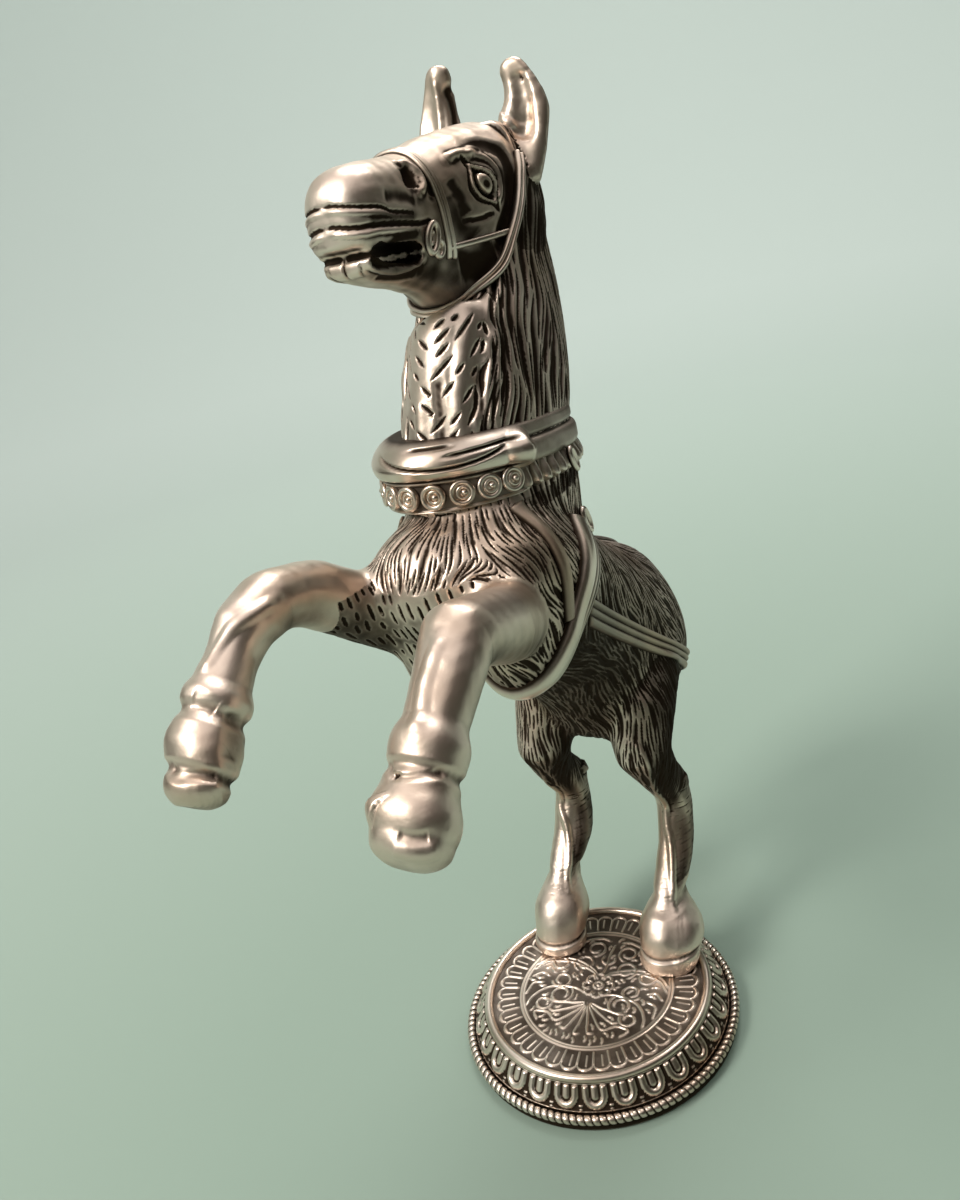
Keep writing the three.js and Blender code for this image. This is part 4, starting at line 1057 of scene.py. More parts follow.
throat_strap = lay_along("throat_strap_piece", throat, from_head(throat_line), 3.1, DOUBLE_BAND, stand=0.3)
solder_on(throat_strap, rubbed_silver, "throat_strap")
for sign, name in ((1, "left"), (-1, "right")):
    cheek = lay_strap(
        f"cheek_strap_piece_{name}", skull, strap_plane(CHEEK_STRAP, True), 1.6, [(0, 1, 0.7)], rows=13,
        reach=50, keep=lambda s: (in_head(s)[:, 1] * sign > 4) & (in_head(s)[:, 0] > 11)
        & (in_head(s)[:, 0] < 35))
    solder_on(cheek, rubbed_silver, f"cheek_strap_{name}")

# Rings at the corners of the mouth: an oval ring with a small boss in it, and a loop behind it
# They are bent from round wire and soldered to the noseband.
RINGS = [((40.2, 11.9, -6.6), 3.5, 1.8, 0.85), ((37.6, 12.9, -9.8), 1.8, 1.3, 0.7)]


def wire_ring(name, centre, outside, upright, tall, broad, thick):
    across = unit(np.cross(outside, upright))
    upright = np.cross(across, outside)
    turns = np.linspace(0, 2 * math.pi, 49)[:-1]
    rounds = np.linspace(0, 2 * math.pi, 13)[:-1]
    spokes = np.cos(turns)[:, None] * upright + np.sin(turns)[:, None] * across
    middle = centre + np.cos(turns)[:, None] * upright * tall + np.sin(turns)[:, None] * across * broad
    ring = middle[:, None] + thick * (np.cos(rounds)[None, :, None] * spokes[:, None]
                                      + np.sin(rounds)[None, :, None] * outside)
    tone = np.tile(np.clip(0.5 - 0.9 * np.sin(rounds), 0, 1), (48, 1))
    return ringed_piece(name, ring, tone, True)


for sign, side in ((1, "left"), (-1, "right")):
    for number, ((f, l, u), tall, broad, thick) in enumerate(RINGS):
        centre, beside, above = from_head([(f, sign * l, u), (f, sign * (l + 1), u),
                                           (f - 0.3, sign * l, u + 1)])
        found, facing = skull.find_nearest(Vector(centre))[:2]
        facing_out = np.array(facing) * np.sign(facing.dot(Vector(beside - centre)))
        outside = unit(0.5 * facing_out + beside - centre)
        at = np.array(found) + outside * thick * 0.8
        ring = wire_ring(f"mouth_ring_{side}_{number}", at, outside, above - centre, tall, broad, thick)
        solder_on(ring, rubbed_silver, f"rosette_{side}")
        boss = wire_ring(f"mouth_boss_{side}_{number}", at - outside * thick * 0.4, outside, above - centre,
                         tall * 0.42, broad * 0.36, thick * 0.62)
        solder_on(boss, rubbed_silver, f"rosette_{side}")

# Collar: a stout rolled band in front that turns into two flat straps behind
# It is built up from silver sheet on its own body, with a boss where the roll ends on each side,
# a row of ring medallions below the roll in front and a pleated fringe below the straps behind.
COLLAR_BODY = [  # forward, left and up of the middle, then how far it reaches aside, back and forward
    (-14, -4.8, 160, 23.2, 30, 34), (-15, -4.8, 176, 23, 29, 34.2), (-17, -5, 190, 22.2, 28, 34.7),
    (-21, -4, 204, 19.6, 28, 33),
]
COLLAR_ROLL = ((-57, 183), (14, 190.6))
COLLAR_ROW = ((-57, 177.6), (14, 182.6))
ROLL_WIDTH = 11.6
ROW_WIDTH = 9.4
ROLL_STAND = 5.2
ROW_STAND = 3.4
MEDALLIONS = (-0.8, -0.63, -0.46, -0.29, -0.12, 0.06, 0.24, 0.42, 0.61)  # turns from the front
ROLL_ENDS = {1: 0.78, -1: 1.35}  # turn from the front at which the roll ends in its boss, left and right
PLEAT = 3.6
collar_turns = np.linspace(0, 2 * math.pi, 121)[:-1]
collar_rings = []
for level in np.linspace(160, 204, 23):
    stations = np.array(COLLAR_BODY)
    f, l, half, aft, fore = (np.interp(level, stations[:, 2], stations[:, k]) for k in (0, 1, 3, 4, 5))
    cosine, sine = np.cos(collar_turns), np.sin(collar_turns)
    reach = np.where(cosine > 0, fore, aft)
    collar_rings.append(np.column_stack((f + cosine * reach, l + sine * half, np.full(120, level))))
numbers = np.arange(23 * 120).reshape(23, 120)
beside = np.roll(numbers, -1, axis=1)
collar_faces = np.stack((numbers[:-1], beside[:-1], beside[1:], numbers[1:]), axis=2).reshape(-1, 4)
collar_body = BVHTree.FromPolygons(np.vstack(collar_rings).tolist(), collar_faces.tolist())


def collar_turn(grid):
    """Turn round the neck from its front, positive to the left."""
    return np.arctan2(grid[:, :, 1] + 4, grid[:, :, 0] + 16)


def roll_shape(shares, along, grid):
    turn = collar_turn(grid)
    share = np.tile(shares, (len(along), 1))
    roll_end = np.where(turn > 0, ROLL_ENDS[1], ROLL_ENDS[-1])
    front = 1 - smoothstep(roll_end - 0.02, roll_end + 0.13, np.abs(turn))
    roll = ROLL_STAND * np.clip(1 - np.abs(share) ** 2.1, 0, 1) ** 0.5
    dark = np.zeros(roll.shape)
    grooves = [  # where each runs over the roll, between which turns, and how deep
        (0.68 + 0 * turn, -0.06, 0.22, 0.9), (-0.2 + 2.4 * (turn - 0.17) ** 2, -0.34, 0.6, 1.4),
        (0.3 + 0.35 * (turn - 0.2), 0.2, 0.72, 1.1), (-0.68 + 0 * turn, -0.6, 0.7, 0.9),
    ]
    for line, low, high, deep in grooves:
        within = smoothstep(low - 0.06, low + 0.06, turn) * smoothstep(-high - 0.06, -high + 0.06, -turn)
        groove = bell((share - line) / 0.11) * within
        roll = roll - deep * groove
        dark = np.maximum(dark, groove)
    straps = np.maximum(2.4 * np.clip(1 - np.abs((share - 0.6) / 0.38) ** 4, 0, 1) ** 0.5,
                        3.2 * np.clip(1 - np.abs((share + 0.36) / 0.58) ** 4, 0, 1) ** 0.5)
    boss = sum(3.4 * np.sqrt(bell(np.hypot((turn - way * end) / 0.19, (share + 0.15) / 1.05)))
               for way, end in ROLL_ENDS.items())
    dark = np.maximum(dark * front, 0.45 * (1 - front))
    return np.maximum(straps * (1 - front) + roll * front + boss, 0.3), dark


def row_shape(shares, along, grid):
    turn = collar_turn(grid)
    share = np.tile(shares, (len(along), 1))
    front = 1 - smoothstep(0.72, 0.84, np.abs(turn))
    plain = ROW_STAND * 0.62 * np.clip(1 - np.abs(share) ** 6, 0, 1) ** 0.5
    plain = plain + 0.9 * bell((share + 0.86) / 0.16)
    pleat = np.abs(np.sin(along / PLEAT * math.pi))[:, None]
    hem = np.clip((share + 0.95 - 0.35 * (1 - pleat)) / 0.3, 0, 1)
    fringe = (0.35 + 3.4 * pleat**0.8) * np.sqrt(hem) * (0.55 + 0.45 * bell((share + 0.45) / 1.1))
    dark = 0.6 * front * (share > -0.7) + (1 - front) * np.clip(1.15 - 1.9 * pleat, 0, 1)
    return np.maximum(plain * front + fringe * (1 - front), 0.25), dark


def lay_collar(name, line, width, stand, shape):
    plane = strap_plane(line)
    return lay_strap(name, collar_body, plane, width, [(0, 1, stand)], middle=(-17, -4, plane[0][2]),
                     rows=41, shape=shape, depth=8)


roll = lay_collar("collar_roll", COLLAR_ROLL, ROLL_WIDTH, ROLL_STAND, roll_shape)
solder_on(roll, rubbed_silver, "collar")
row = lay_collar("collar_row", COLLAR_ROW, ROW_WIDTH, ROW_STAND, row_shape)
solder_on(row, rubbed_silver, "collar")

# One medallion: a small dish with a thick rim, a crescent inside it and a pearl in the crescent.
def medallion(number, at, facing):
    bpy.ops.object.select_all(action="DESELECT")
    bpy.ops.mesh.primitive_cylinder_add(vertices=40, radius=0.0032, depth=0.0018, end_fill_type="TRIFAN")
    dish = bpy.context.object
    bpy.ops.mesh.primitive_torus_add(major_segments=40, minor_segments=12, major_radius=0.0027,
                                     minor_radius=0.0007, location=(0, 0, 0.0009))
    rim = bpy.context.object
    bpy.ops.mesh.primitive_torus_add(major_segments=32, minor_segments=10, major_radius=0.0015,
                                     minor_radius=0.0005, location=(0.0003, 0, 0.001))
    crescent = bpy.context.object
    bpy.ops.mesh.primitive_uv_sphere_add(segments=20, ring_count=12, radius=0.0009,
                                         location=(0.0006, 0, 0.0012))
    pearl = bpy.context.object
    for part in (dish, rim, crescent, pearl):
        part.select_set(True)
    bpy.context.view_layer.objects.active = dish
    bpy.ops.object.join()
    dish.name = dish.data.name = f"collar_medallion_{number}"
    mesh = dish.data
    spots = np.empty(len(mesh.vertices) * 3)
    mesh.vertices.foreach_get("co", spots)
    spots = spots.reshape(-1, 3) * 1000
    out, side = np.hypot(spots[:, 0], spots[:, 1]), spots[:, 2]
    store(mesh, "patina_and_shade", np.clip(1.0 - 1.4 * side, 0, 1) * (out < 3.2))
    across = unit(np.cross((0, 0, 1.0), facing))
    upright = np.cross(facing, across)
    turned = at + spots @ np.array((across, upright, facing))
    mesh.vertices.foreach_set("co", to_metres(turned).ravel())
    mesh.shade_smooth()
    mesh.update()
    return dish


row_normal = strap_plane(COLLAR_ROW)[2]
row_middle = np.array((-17.0, -4, strap_plane(COLLAR_ROW)[0][2]))
row_middle -= row_normal * ((row_middle - strap_plane(COLLAR_ROW)[0]) @ row_normal)
for number, turn in enumerate(MEDALLIONS):
    facing = np.array((math.cos(turn), math.sin(turn), 0))
    facing = unit(facing - row_normal * (facing @ row_normal))
    spot = collar_body.ray_cast(Vector(row_middle + facing * 60), Vector(-facing), 60)
    outside = unit(np.array(spot[1]) * (1 if Vector(facing).dot(spot[1]) > 0 else -1))
    piece = medallion(number + 1, np.array(spot[0]) + outside * 2.3, outside)
    solder_on(piece, rubbed_silver, "collar")


# Terrets: two oval bright loops on each side of the withers, where the girth begins
# They are bent from round silver wire, and are soldered to the girth and under the collar's fringe.
TERRETS = [((-21, 18.5, 170), 3.6, 1.9, 1.0), ((-16, 20.5, 179), 3.2, 1.5, 0.9)]
for sign, side in ((1, "left"), (-1, "right")):
    for number, (place, tall, broad, thick) in enumerate(TERRETS):
        place = np.array(place) * (1, sign, 1)
        found = trunk.find_nearest(Vector(place))[0] if number == 0 else Vector(place)
        outside = unit(np.array((-0.15, sign * 1.0, 0.1)))
        ring = wire_ring(f"terret_{side}_{number}", np.array(found) + outside * 1.2, outside,
                         np.array((0.35, 0, 1.0)), tall, broad, thick)
        solder_on(ring, rubbed_silver, "girth")

# Base: a turned and chased dish that the horse is bolted to
# It is spun and cast silver metal with a foot, a sloping band of petals, a round polished
# moulding and a chased face inside it. The round parts are one piece and the face another.
FIELD_FACE = 12.4
PETALS = 28
ROUND_STEPS = PETALS * 22
LEDGE_RADIUS, SLOPE_HEAD_RADIUS, FIELD_EDGE = 43.0, 38.4, 35.5
SLOPE_FOOT, SLOPE_HEAD = 5.4, 11.8
LOBES = 38


def profile_piece(name, profile, steps, relief):
    """A turned ring from a closed profile of radius, height and darkness."""
    turns = np.linspace(0, 2 * math.pi, steps + 1)[:-1][:, None]
    radius, level, tone = (np.tile(values, (steps, 1)) for values in np.array(profile, dtype=float).T)
    radius, level, tone = relief(turns, radius, level, tone)
    rings = np.stack((radius * np.cos(turns), radius * np.sin(turns), level - HOOF_FACE), axis=2)
    return ringed_piece(name, rings, tone, True)


def petal_relief(turns, radius, level, tone):
    run = np.array((SLOPE_HEAD_RADIUS - LEDGE_RADIUS, SLOPE_HEAD - SLOPE_FOOT))
    length = np.hypot(*run)
    way = ((radius - LEDGE_RADIUS) * run[0] + (level - SLOPE_FOOT) * run[1]) / length
    off = np.abs((radius - LEDGE_RADIUS) * run[1] - (level - SLOPE_FOOT) * run[0]) / length
    slope = (off < 0.01) & (way > 0.05) & (way < length - 0.05)
    place_in_petal = (turns * PETALS / (2 * math.pi)) % 1 - 0.5
    x = place_in_petal * 2 * math.pi * radius / PETALS
    d = np.where(way > 4.3, np.abs(x), np.hypot(x, way - 4.3))
    tongue = 0.5 * np.sqrt(np.clip(1 - (d / 1.15) ** 2, 0, 1))
    band = 0.85 * np.sqrt(np.clip(1 - ((d - 2.75) / 1.1) ** 2, 0, 1))
    dots = sum(0.5 * bell(np.hypot(np.abs(x) - 4.75 + 0.16 * way, way - at) / 0.55) for at in (0.55, 1.6))
    rise = np.maximum.reduce((tongue, band, dots)) * smoothstep(length - 0.1, length - 0.9, way)
    dark = 1 - np.clip(rise / 0.4, 0, 1)
    dark = np.maximum(dark, 0.9 * bell((d - 1.45) / 0.4))
    normal = np.array((run[1], -run[0])) / length
    radius = np.where(slope, radius + normal[0] * (rise - 0.1), radius)
    level = np.where(slope, level + normal[1] * (rise - 0.1), level)
    return radius, level, np.where(slope, dark, tone)


slope_rows = [(LEDGE_RADIUS + (SLOPE_HEAD_RADIUS - LEDGE_RADIUS) * t,
               SLOPE_FOOT + (SLOPE_HEAD - SLOPE_FOOT) * t, 0) for t in np.linspace(0, 1, 27)]
moulding = [(36.95 + 1.42 * math.cos(turn), 12.3 + 1.35 * math.sin(turn), 0.0)
            for turn in np.linspace(0, math.pi, 17)]
rim_profile = [
    (35.5, 9.98, 0.9), (38.0, 7.4, 0.9), (39.9, 4.6, 0.9), (39.9, 1.7, 0.9), (41.35, 1.7, 0.9),
    (41.4, 0.35, 0.9), (41.7, 0.3, 0.6), (44.9, 0.3, 0.6), (45.2, 0.45, 0.5), (45.3, 0.8, 0.75),
    (45.2, 1.5, 0.95), (45.05, 2.1, 0.95), (44.8, 2.3, 0.95), (43.3, 2.3, 1), (43.0, 2.5, 1),
    (43.0, 4.0, 1), (43.0, 5.2, 0.9), *slope_rows, (38.35, 11.95, 0.9), *moulding, (35.5, 12.0, 0.95),
    (35.5, 11.0, 1),
]
base_rim = profile_piece("base_rim", rim_profile, ROUND_STEPS, petal_relief)
solder_on(base_rim, rubbed_silver, "base")


# The chased face: raised lines on a sunk ground, drawn flat as forward and left of its middle
def arc(middle, radius, start, stop):
    turns = np.radians(np.linspace(start, stop, 15))
    return [(middle[0] + radius * math.cos(t), middle[1] + radius * math.sin(t)) for t in turns]


def curl(middle, radius, start, turns):
    """A scroll that winds in to its eye, a little under half as wide there."""
    ways = np.linspace(0, 1, 22)
    return [(middle[0] + radius * (1 - 0.55 * w) * math.cos(start + turns * 2 * math.pi * w),
             middle[1] + radius * (1 - 0.55 * w) * math.sin(start + turns * 2 * math.pi * w))
            for w in ways]


FLOWER = (-1.0, 0.5)
PALMETTE = (6.5, 0.0)
chased_lines = []
for k in range(8):
    turn = k * 45 + 10
    at = (FLOWER[0] + 3.4 * math.cos(math.radians(turn)), FLOWER[1] + 3.4 * math.sin(math.radians(turn)))
    chased_lines.append(arc(at, 1.75, turn - 118, turn + 118))
chased_lines.append(arc(FLOWER, 1.5, 0, 360))
for k in range(-4, 5):
    turn, reach = k * 19, 14.5 - 0.45 * abs(k)
    ahead, aside = math.cos(math.radians(turn)), math.sin(math.radians(turn))
    hook = 1.3 if k >= 0 else -1.3
    chased_lines.append([
        (PALMETTE[0] + 1.5 * ahead, PALMETTE[1] + 0.6 * aside),
        (PALMETTE[0] + 0.6 * reach * ahead, PALMETTE[1] + 0.52 * reach * aside),
        (PALMETTE[0] + 0.95 * reach * ahead - 0.3, PALMETTE[1] + 0.95 * reach * aside - 0.3 * hook),
        (PALMETTE[0] + reach * ahead - 1.2, PALMETTE[1] + reach * aside + hook)])
HALF_LINES = [  # drawn for the left half, and mirrored for the right
    curl((5.5, 10.5), 4.2, -2.6, 1.25),
    curl((-0.5, 12.5), 3.6, 1.2, -1.2),
    curl((10.5, 15.0), 3.0, -1.9, 1.1),
    curl((-9.5, 7.5), 3.8, 0.4, 1.2),
    curl((-8.0, 15.5), 3.3, 2.4, -1.15),
    curl((-17.0, 6.0), 3.6, 0.0, -1.2),
    [(-4.0, 1.0), (-6.5, 3.5), (-9.0, 11.8), (-7.5, 20.0), (-3.0, 24.0)],
    [(-5.2, 1.0), (-8.0, 4.2), (-10.6, 12.0), (-9.2, 20.0), (-5.0, 24.0)],
    [(3.5, 2.0), (1.8, 7.5), (3.2, 15.0), (8.0, 19.5), (13.0, 20.5)],
    [(16.5, 9.0), (14.0, 12.5), (14.8, 16.5), (17.8, 14.5)],
    [(-13.0, 11.0), (-15.5, 14.0), (-13.5, 18.5), (-10.8, 17.0)],
    [(-21.5, 2.0), (-22.0, 6.0), (-19.5, 11.0), (-16.8, 11.5)],
    [(2.0, 18.5), (3.5, 22.0), (8.5, 22.5)],
    [(-1.0, 17.5), (-2.0, 20.5), (0.5, 23.5)],
]
for side in (1, -1):
    chased_lines += [[(p, side * q) for p, q in line] for line in HALF_LINES]
chased_lines += [[(-5, 0), (-10, 0.4), (-15, -0.3), (-20, 0)], arc((-13, 0), 2.2, -120, 120)]

# Small curved leaves fill the ground between the scrolls.
GROUND_REACH, LEAF_TRIES, LEAF_CLEARANCE = 24, 1500, 0.95
leaf_draw = np.random.default_rng(61)
taken = np.vstack([spline(line) for line in chased_lines])
for _ in range(LEAF_TRIES):
    reach, turn = GROUND_REACH * math.sqrt(leaf_draw.uniform()), leaf_draw.uniform(0, 2 * math.pi)
    at = np.array((reach * math.cos(turn), reach * math.sin(turn)))
    way = turn + leaf_draw.uniform(-1.1, 1.1)
    run, side = np.array((math.cos(way), math.sin(way))), np.array((-math.sin(way), math.cos(way)))
    leaf = [at - 1.1 * run, at + 0.45 * side, at + 1.1 * run]
    if reach < 23.3 and np.linalg.norm(taken[:, None] - np.array(leaf), axis=2).min() > LEAF_CLEARANCE:
        chased_lines.append(leaf)
        taken = np.vstack((taken, spline(leaf)))


def field_relief(forward, left):
    reach = np.hypot(forward, left)
    turn = np.arctan2(left, forward)
    rise = np.zeros(reach.shape)
    flat = np.column_stack((forward.ravel(), left.ravel()))
    inner = np.zeros(len(flat))
    for line in chased_lines:
        inner = np.maximum(inner, stroke(flat, line, 0.62, 0.06))
    rise = np.where(reach < 24.5, 0.42 * inner.reshape(reach.shape), rise)
    pearl = np.hypot(forward - FLOWER[0], left - FLOWER[1])
    rise = np.maximum(rise, 0.5 * np.sqrt(np.clip(1 - (pearl / 0.8) ** 2, 0, 1)))
    for ring, stand in ((25.9, 0.42), (24.9, 0.3)):
        rise = np.maximum(rise, stand * bell((reach - ring) / 0.5))
    spot = (turn * LOBES / (2 * math.pi)) % 1 * 2 - 1
    lobe_rim = 31.2 + 2.5 * np.sqrt(np.clip(1 - spot**2, 0, 1))
    rise = np.maximum(rise, 0.62 * bell((reach - lobe_rim) / 0.62) * (0.5 + 0.5 * (1 - np.abs(spot))))
    within = (reach > 26.6) & (reach < lobe_rim)
    ray = np.abs(1 - np.abs(spot)) * math.pi * reach / LOBES
    rise = np.maximum(rise, 0.5 * bell(ray / 0.5) * within * smoothstep(26.4, 27.4, reach))
    vein = np.abs(spot - 0.15) * math.pi * reach / LOBES
    rise = np.maximum(rise, 0.3 * bell(vein / 0.4) * (reach > 28) * (reach < lobe_rim - 1.2))
    return rise, reach


FIELD_BACK = 10.0
INNER_STEPS, OUTER_STEPS = 360, 720
field_rings = [(INNER_STEPS, radius) for radius in np.linspace(0.35, 17, 46)]
field_rings += [(OUTER_STEPS, radius) for radius in np.linspace(17.3, FIELD_EDGE, 51)]
field_points, field_faces, ring_starts = [], [], []
for steps, radius in field_rings:
    turns = np.linspace(0, 2 * math.pi, steps + 1)[:-1]
    ring_starts.append((sum(len(ring) for ring in field_points), steps))
    field_points.append(np.column_stack((radius * np.cos(turns), radius * np.sin(turns))))
flat = np.vstack(field_points)
rise, reach = field_relief(flat[:, 0], flat[:, 1])
sunk = 0.28 * smoothstep(FIELD_EDGE - 0.1, FIELD_EDGE - 0.9, reach)
level = FIELD_FACE - sunk - 0.1 + rise
tone = 0.66 - 0.85 * np.clip(rise / 0.3, 0, 1)
round_hooves = np.zeros(len(flat))  # where the face is rubbed bright round the hooves
for side in (1, -1):
    from_hoof = np.hypot((flat[:, 0] + 13) / 15, (flat[:, 1] - side * 19.8) / 10)
    round_hooves = np.maximum(round_hooves, bell(from_hoof))
tone = np.clip(tone - 0.45 * round_hooves, 0, 1)
points = np.column_stack((flat, level - HOOF_FACE))
for (start, steps), (after, wider) in zip(ring_starts, ring_starts[1:]):
    k = np.arange(steps)
    beyond = (k + 1) % steps
    if steps == wider:
        strips = [(start + k, after + k, after + beyond, start + beyond)]
    else:
        strips = [(start + k, after + 2 * k, after + 2 * k + 1),
                  (start + k, after + 2 * k + 1, start + beyond),
                  (start + beyond, after + 2 * k + 1, after + (2 * k + 2) % wider)]
    for corners in strips:
        field_faces += np.column_stack(corners).tolist()
k = np.arange(INNER_STEPS)
field_faces += np.column_stack((k, (k + 1) % INNER_STEPS, np.full(INNER_STEPS, len(points)))).tolist()
edge = ring_starts[-1][0] + np.arange(OUTER_STEPS)
under_edge = len(points) + 1 + np.arange(OUTER_STEPS)
under_middle = np.full(OUTER_STEPS, len(points) + 1 + OUTER_STEPS)
field_faces += np.column_stack((edge, under_edge, np.roll(under_edge, -1), np.roll(edge, -1))).tolist()
field_faces += np.column_stack((under_edge, np.roll(under_edge, -1), under_middle)).tolist()
below = np.column_stack((points[edge][:, :2], np.full(OUTER_STEPS, FIELD_BACK - HOOF_FACE)))
points = np.vstack((points, (0, 0, points[0, 2]), below, (0, 0, FIELD_BACK - HOOF_FACE)))
tone = np.concatenate((tone, [tone[0]], np.full(OUTER_STEPS + 1, 0.9)))


base_field = solid_piece("base_field", points, field_faces, tone)
solder_on(base_field, rubbed_silver, "base")

# Rope rim: a twisted strand laid round the foot, rubbed bright
# Its lays are close and slant a little to the right as they go over.
ROPE_CENTRE, ROPE_LEVEL, ROPE_RADIUS, LAYS = 44.8, 4.1, 1.5, 122
STEPS_PER_LAY = 8
rope_turns = np.linspace(0, 2 * math.pi, LAYS * STEPS_PER_LAY + 1)[:-1][:, None]
rope_round = np.linspace(0, 2 * math.pi, 15)[:-1][None, :]
lay = np.abs(np.sin((rope_turns * LAYS + rope_round) / 2))
thick = ROPE_RADIUS * (0.72 + 0.28 * lay**0.55)
rope_rings = np.stack(((ROPE_CENTRE + thick * np.cos(rope_round)) * np.cos(rope_turns),
                       (ROPE_CENTRE + thick * np.cos(rope_round)) * np.sin(rope_turns),
                       ROPE_LEVEL + thick * np.sin(rope_round) - HOOF_FACE + 0 * rope_turns), axis=2)
rope = ringed_piece("rope_moulding", rope_rings, 1 - smoothstep(0.15, 0.6, lay), True)
solder_on(rope, rubbed_silver, "rope_rim")


# Felt pad, studs, washers and nuts under the base
# The pad is pressed wool felt glued into the hollow foot. The studs are steel screwed into the hooves,
# and each carries a washer and a nut.
FIXINGS = ("stud", "washer", "nut")
felt_look, tree, shader = new_look("wool felt")
place = add_node(tree, "ShaderNodeTexCoord").outputs["Object"]
clumps = add_node(tree, "ShaderNodeTexNoise", {"Vector": place, "Scale": 260, "Detail": 6, "Roughness": 0.7})
fibres = add_node(tree, "ShaderNodeTexNoise",
                  {"Vector": place, "Scale": 1900, "Detail": 4, "Distortion": 1.6})
wool = add_node(tree, "ShaderNodeMix", {0: clumps.outputs["Fac"], 6: (0.02, 0.075, 0.05, 1),
                                        7: (0.05, 0.14, 0.1, 1)}, data_type="RGBA")
fuzz = add_node(tree, "ShaderNodeMath", {0: fibres.outputs["Fac"], 1: 0.7, 2: clumps.outputs["Fac"]},
                operation="MULTIPLY_ADD")
bumped = add_node(tree, "ShaderNodeBump", {"Height": fuzz.outputs[0], "Distance": 0.0003})
feed(tree, shader, {"Base Color": wool.outputs[2], "Normal": bumped.outputs["Normal"],
                    "Roughness": 0.95, "Sheen Weight": 0.4})

steel_look, tree, shader = new_look("zinc-plated steel")
place = add_node(tree, "ShaderNodeTexCoord").outputs["Object"]
turned = add_node(tree, "ShaderNodeTexWave", {"Vector": place, "Scale": 420, "Distortion": 2.5, "Detail": 2},
                  wave_type="RINGS", rings_direction="Z")
spots = add_node(tree, "ShaderNodeTexNoise", {"Vector": place, "Scale": 300, "Detail": 5})
tint = add_node(tree, "ShaderNodeMix", {0: spots.outputs["Fac"], 6: (0.62, 0.62, 0.6, 1),
                                        7: (0.46, 0.45, 0.42, 1)}, data_type="RGBA")
dull = add_node(tree, "ShaderNodeMath", {0: spots.outputs["Fac"], 1: 0.22, 2: 0.24}, operation="MULTIPLY_ADD")
bumped = add_node(tree, "ShaderNodeBump", {"Height": turned.outputs["Fac"], "Distance": 0.00003})
feed(tree, shader, {"Base Color": tint.outputs[2], "Roughness": dull.outputs[0],
                    "Normal": bumped.outputs["Normal"], "Metallic": 1})
for name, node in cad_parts.items():
    look = felt_look if name == "felt_pad" else steel_look if name.split("_")[0] in FIXINGS else None
    if look:
        node.data.materials.clear()
        node.data.materials.append(look)

# Floor, backdrop and lights
# The figurine stands on a pale sheet that curves up all round it. A large soft lamp stands to
# the front left and a second one lights the sheet behind. Dark screens stand round the figurine,
# which give the metal something to mirror.
# The sheet is painted darker near the figurine and paler far off, which darkens the floor round it and its
# reflection in the metal: painted shade.
SHEET_NEAR, SHEET_FAR = (0.29, 0.375, 0.318, 1), (0.468, 0.532, 0.508, 1)
SHEET_RADIUS = 1.9
SHEET_STEPS = 64
sheet_rows = [(0.0, 0.0), (0.5, 0.0), (1.0, 0.0)] + [
    (1.0 + 0.9 * math.sin(t), 0.9 - 0.9 * math.cos(t)) for t in np.linspace(0.1, math.pi / 2, 12)
] + [(SHEET_RADIUS, 2.2)]
sheet_mesh = bpy.data.meshes.new("floor")
sheet_turns = np.linspace(0, 2 * math.pi, SHEET_STEPS + 1)[:-1]
sheet_points = [(0, 0, 0)]
for r, z in sheet_rows[1:]:
    sheet_points += [(r * math.cos(t), r * math.sin(t), z) for t in sheet_turns]
sheet_faces = [(0, 1 + k, 1 + (k + 1) % SHEET_STEPS) for k in range(SHEET_STEPS)]
for ring in range(len(sheet_rows) - 2):
    first = 1 + SHEET_STEPS * ring
    after = first + SHEET_STEPS
    for k in range(SHEET_STEPS):
        beyond = (k + 1) % SHEET_STEPS
        sheet_faces.append((first + k, after + k, after + beyond, first + beyond))
sheet_mesh.from_pydata(sheet_points, [], sheet_faces)
sheet_mesh.shade_smooth()
floor = put_in_scene("floor", sheet_mesh)
paper, tree, shader = new_look("sheet")
place = add_node(tree, "ShaderNodeTexCoord").outputs["Object"]
off = add_node(tree, "ShaderNodeVectorMath", {0: place}, operation="LENGTH").outputs["Value"]
way = add_node(tree, "ShaderNodeMapRange", {"Value": off, "From Min": 0.12, "From Max": 1.3})
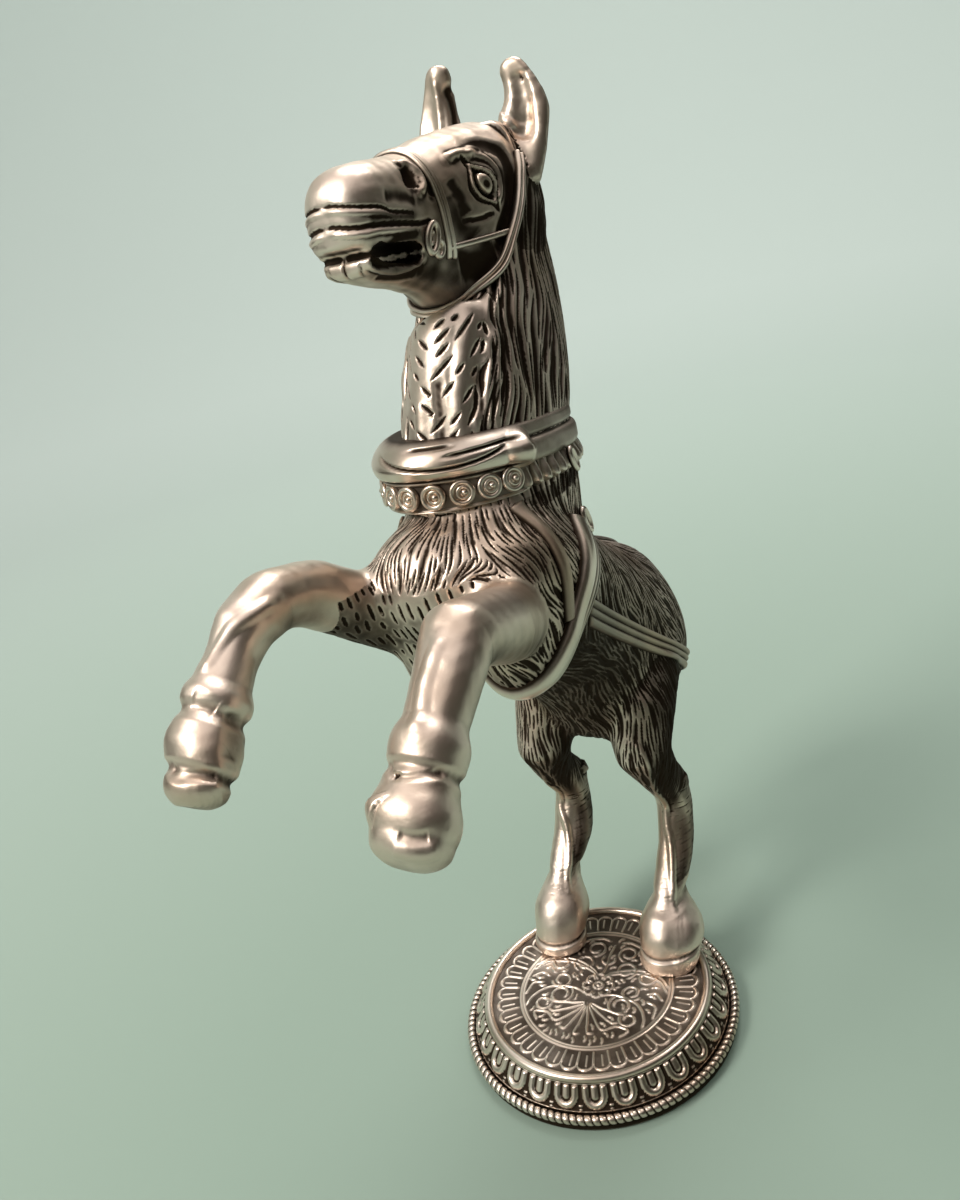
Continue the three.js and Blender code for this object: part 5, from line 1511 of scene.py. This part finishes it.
shade = add_node(tree, "ShaderNodeMix", {0: way.outputs[0], 6: SHEET_NEAR, 7: SHEET_FAR}, data_type="RGBA")
feed(tree, shader, {"Base Color": shade.outputs[2], "Roughness": 0.9, "Specular IOR Level": 0.1})
floor.data.materials.append(paper)
world = bpy.data.worlds.new("studio")
bpy.context.scene.world = world
world.use_nodes = True
world.node_tree.nodes["Background"].inputs["Color"].default_value = (1.0, 0.93, 0.88, 1)
world.node_tree.nodes["Background"].inputs["Strength"].default_value = 0.8
bpy.context.scene.view_settings.view_transform = "Standard"


def lamp(name, place, aim, size, power, colour):
    data = bpy.data.lights.new(name, "AREA")
    data.size = size
    data.energy = power
    data.color = colour
    light = put_in_scene(name, data)
    light.location = place
    light.rotation_euler = (Vector(aim) - Vector(place)).to_track_quat("-Z", "Y").to_euler()


def screen(name, place, aim, width, tall):
    """A dark cloth screen that only shows in the metal."""
    bpy.ops.object.select_all(action="DESELECT")
    bpy.ops.mesh.primitive_plane_add(size=1)
    board = bpy.context.object
    board.name = name
    board.scale = (width, tall, 1)
    board.location = place
    board.rotation_euler = (Vector(aim) - Vector(place)).to_track_quat("-Z", "Y").to_euler()
    board.data.materials.append(dark_cloth)
    board.visible_camera = False
    board.visible_shadow = False
    board.visible_diffuse = False


dark_cloth, tree, shader = new_look("dark cloth")
feed(tree, shader, {"Base Color": (0.03, 0.025, 0.02, 1), "Roughness": 1.0, "Specular IOR Level": 0.0})
lamp("key", (-0.55, -0.85, 1.1), (0, 0, 0.17), 0.5, 13, (1, 0.95, 0.89))
lamp("back", (-0.1, 0.6, 1.3), (-0.5, 1.1, 0.35), 0.7, 14, (1, 0.99, 0.96))
screen("screen_right", (0.75, -0.05, 0.35), (0, 0, 0.2), 1.3, 1.3)
screen("screen_front", (0.35, -0.75, 0.32), (0, 0, 0.2), 0.5, 0.8)
screen("screen_left", (-0.85, -0.1, 0.1), (0, 0, 0.2), 0.6, 0.4)
screen("screen_back", (0.1, 0.8, 0.3), (0, 0, 0.2), 0.8, 0.8)
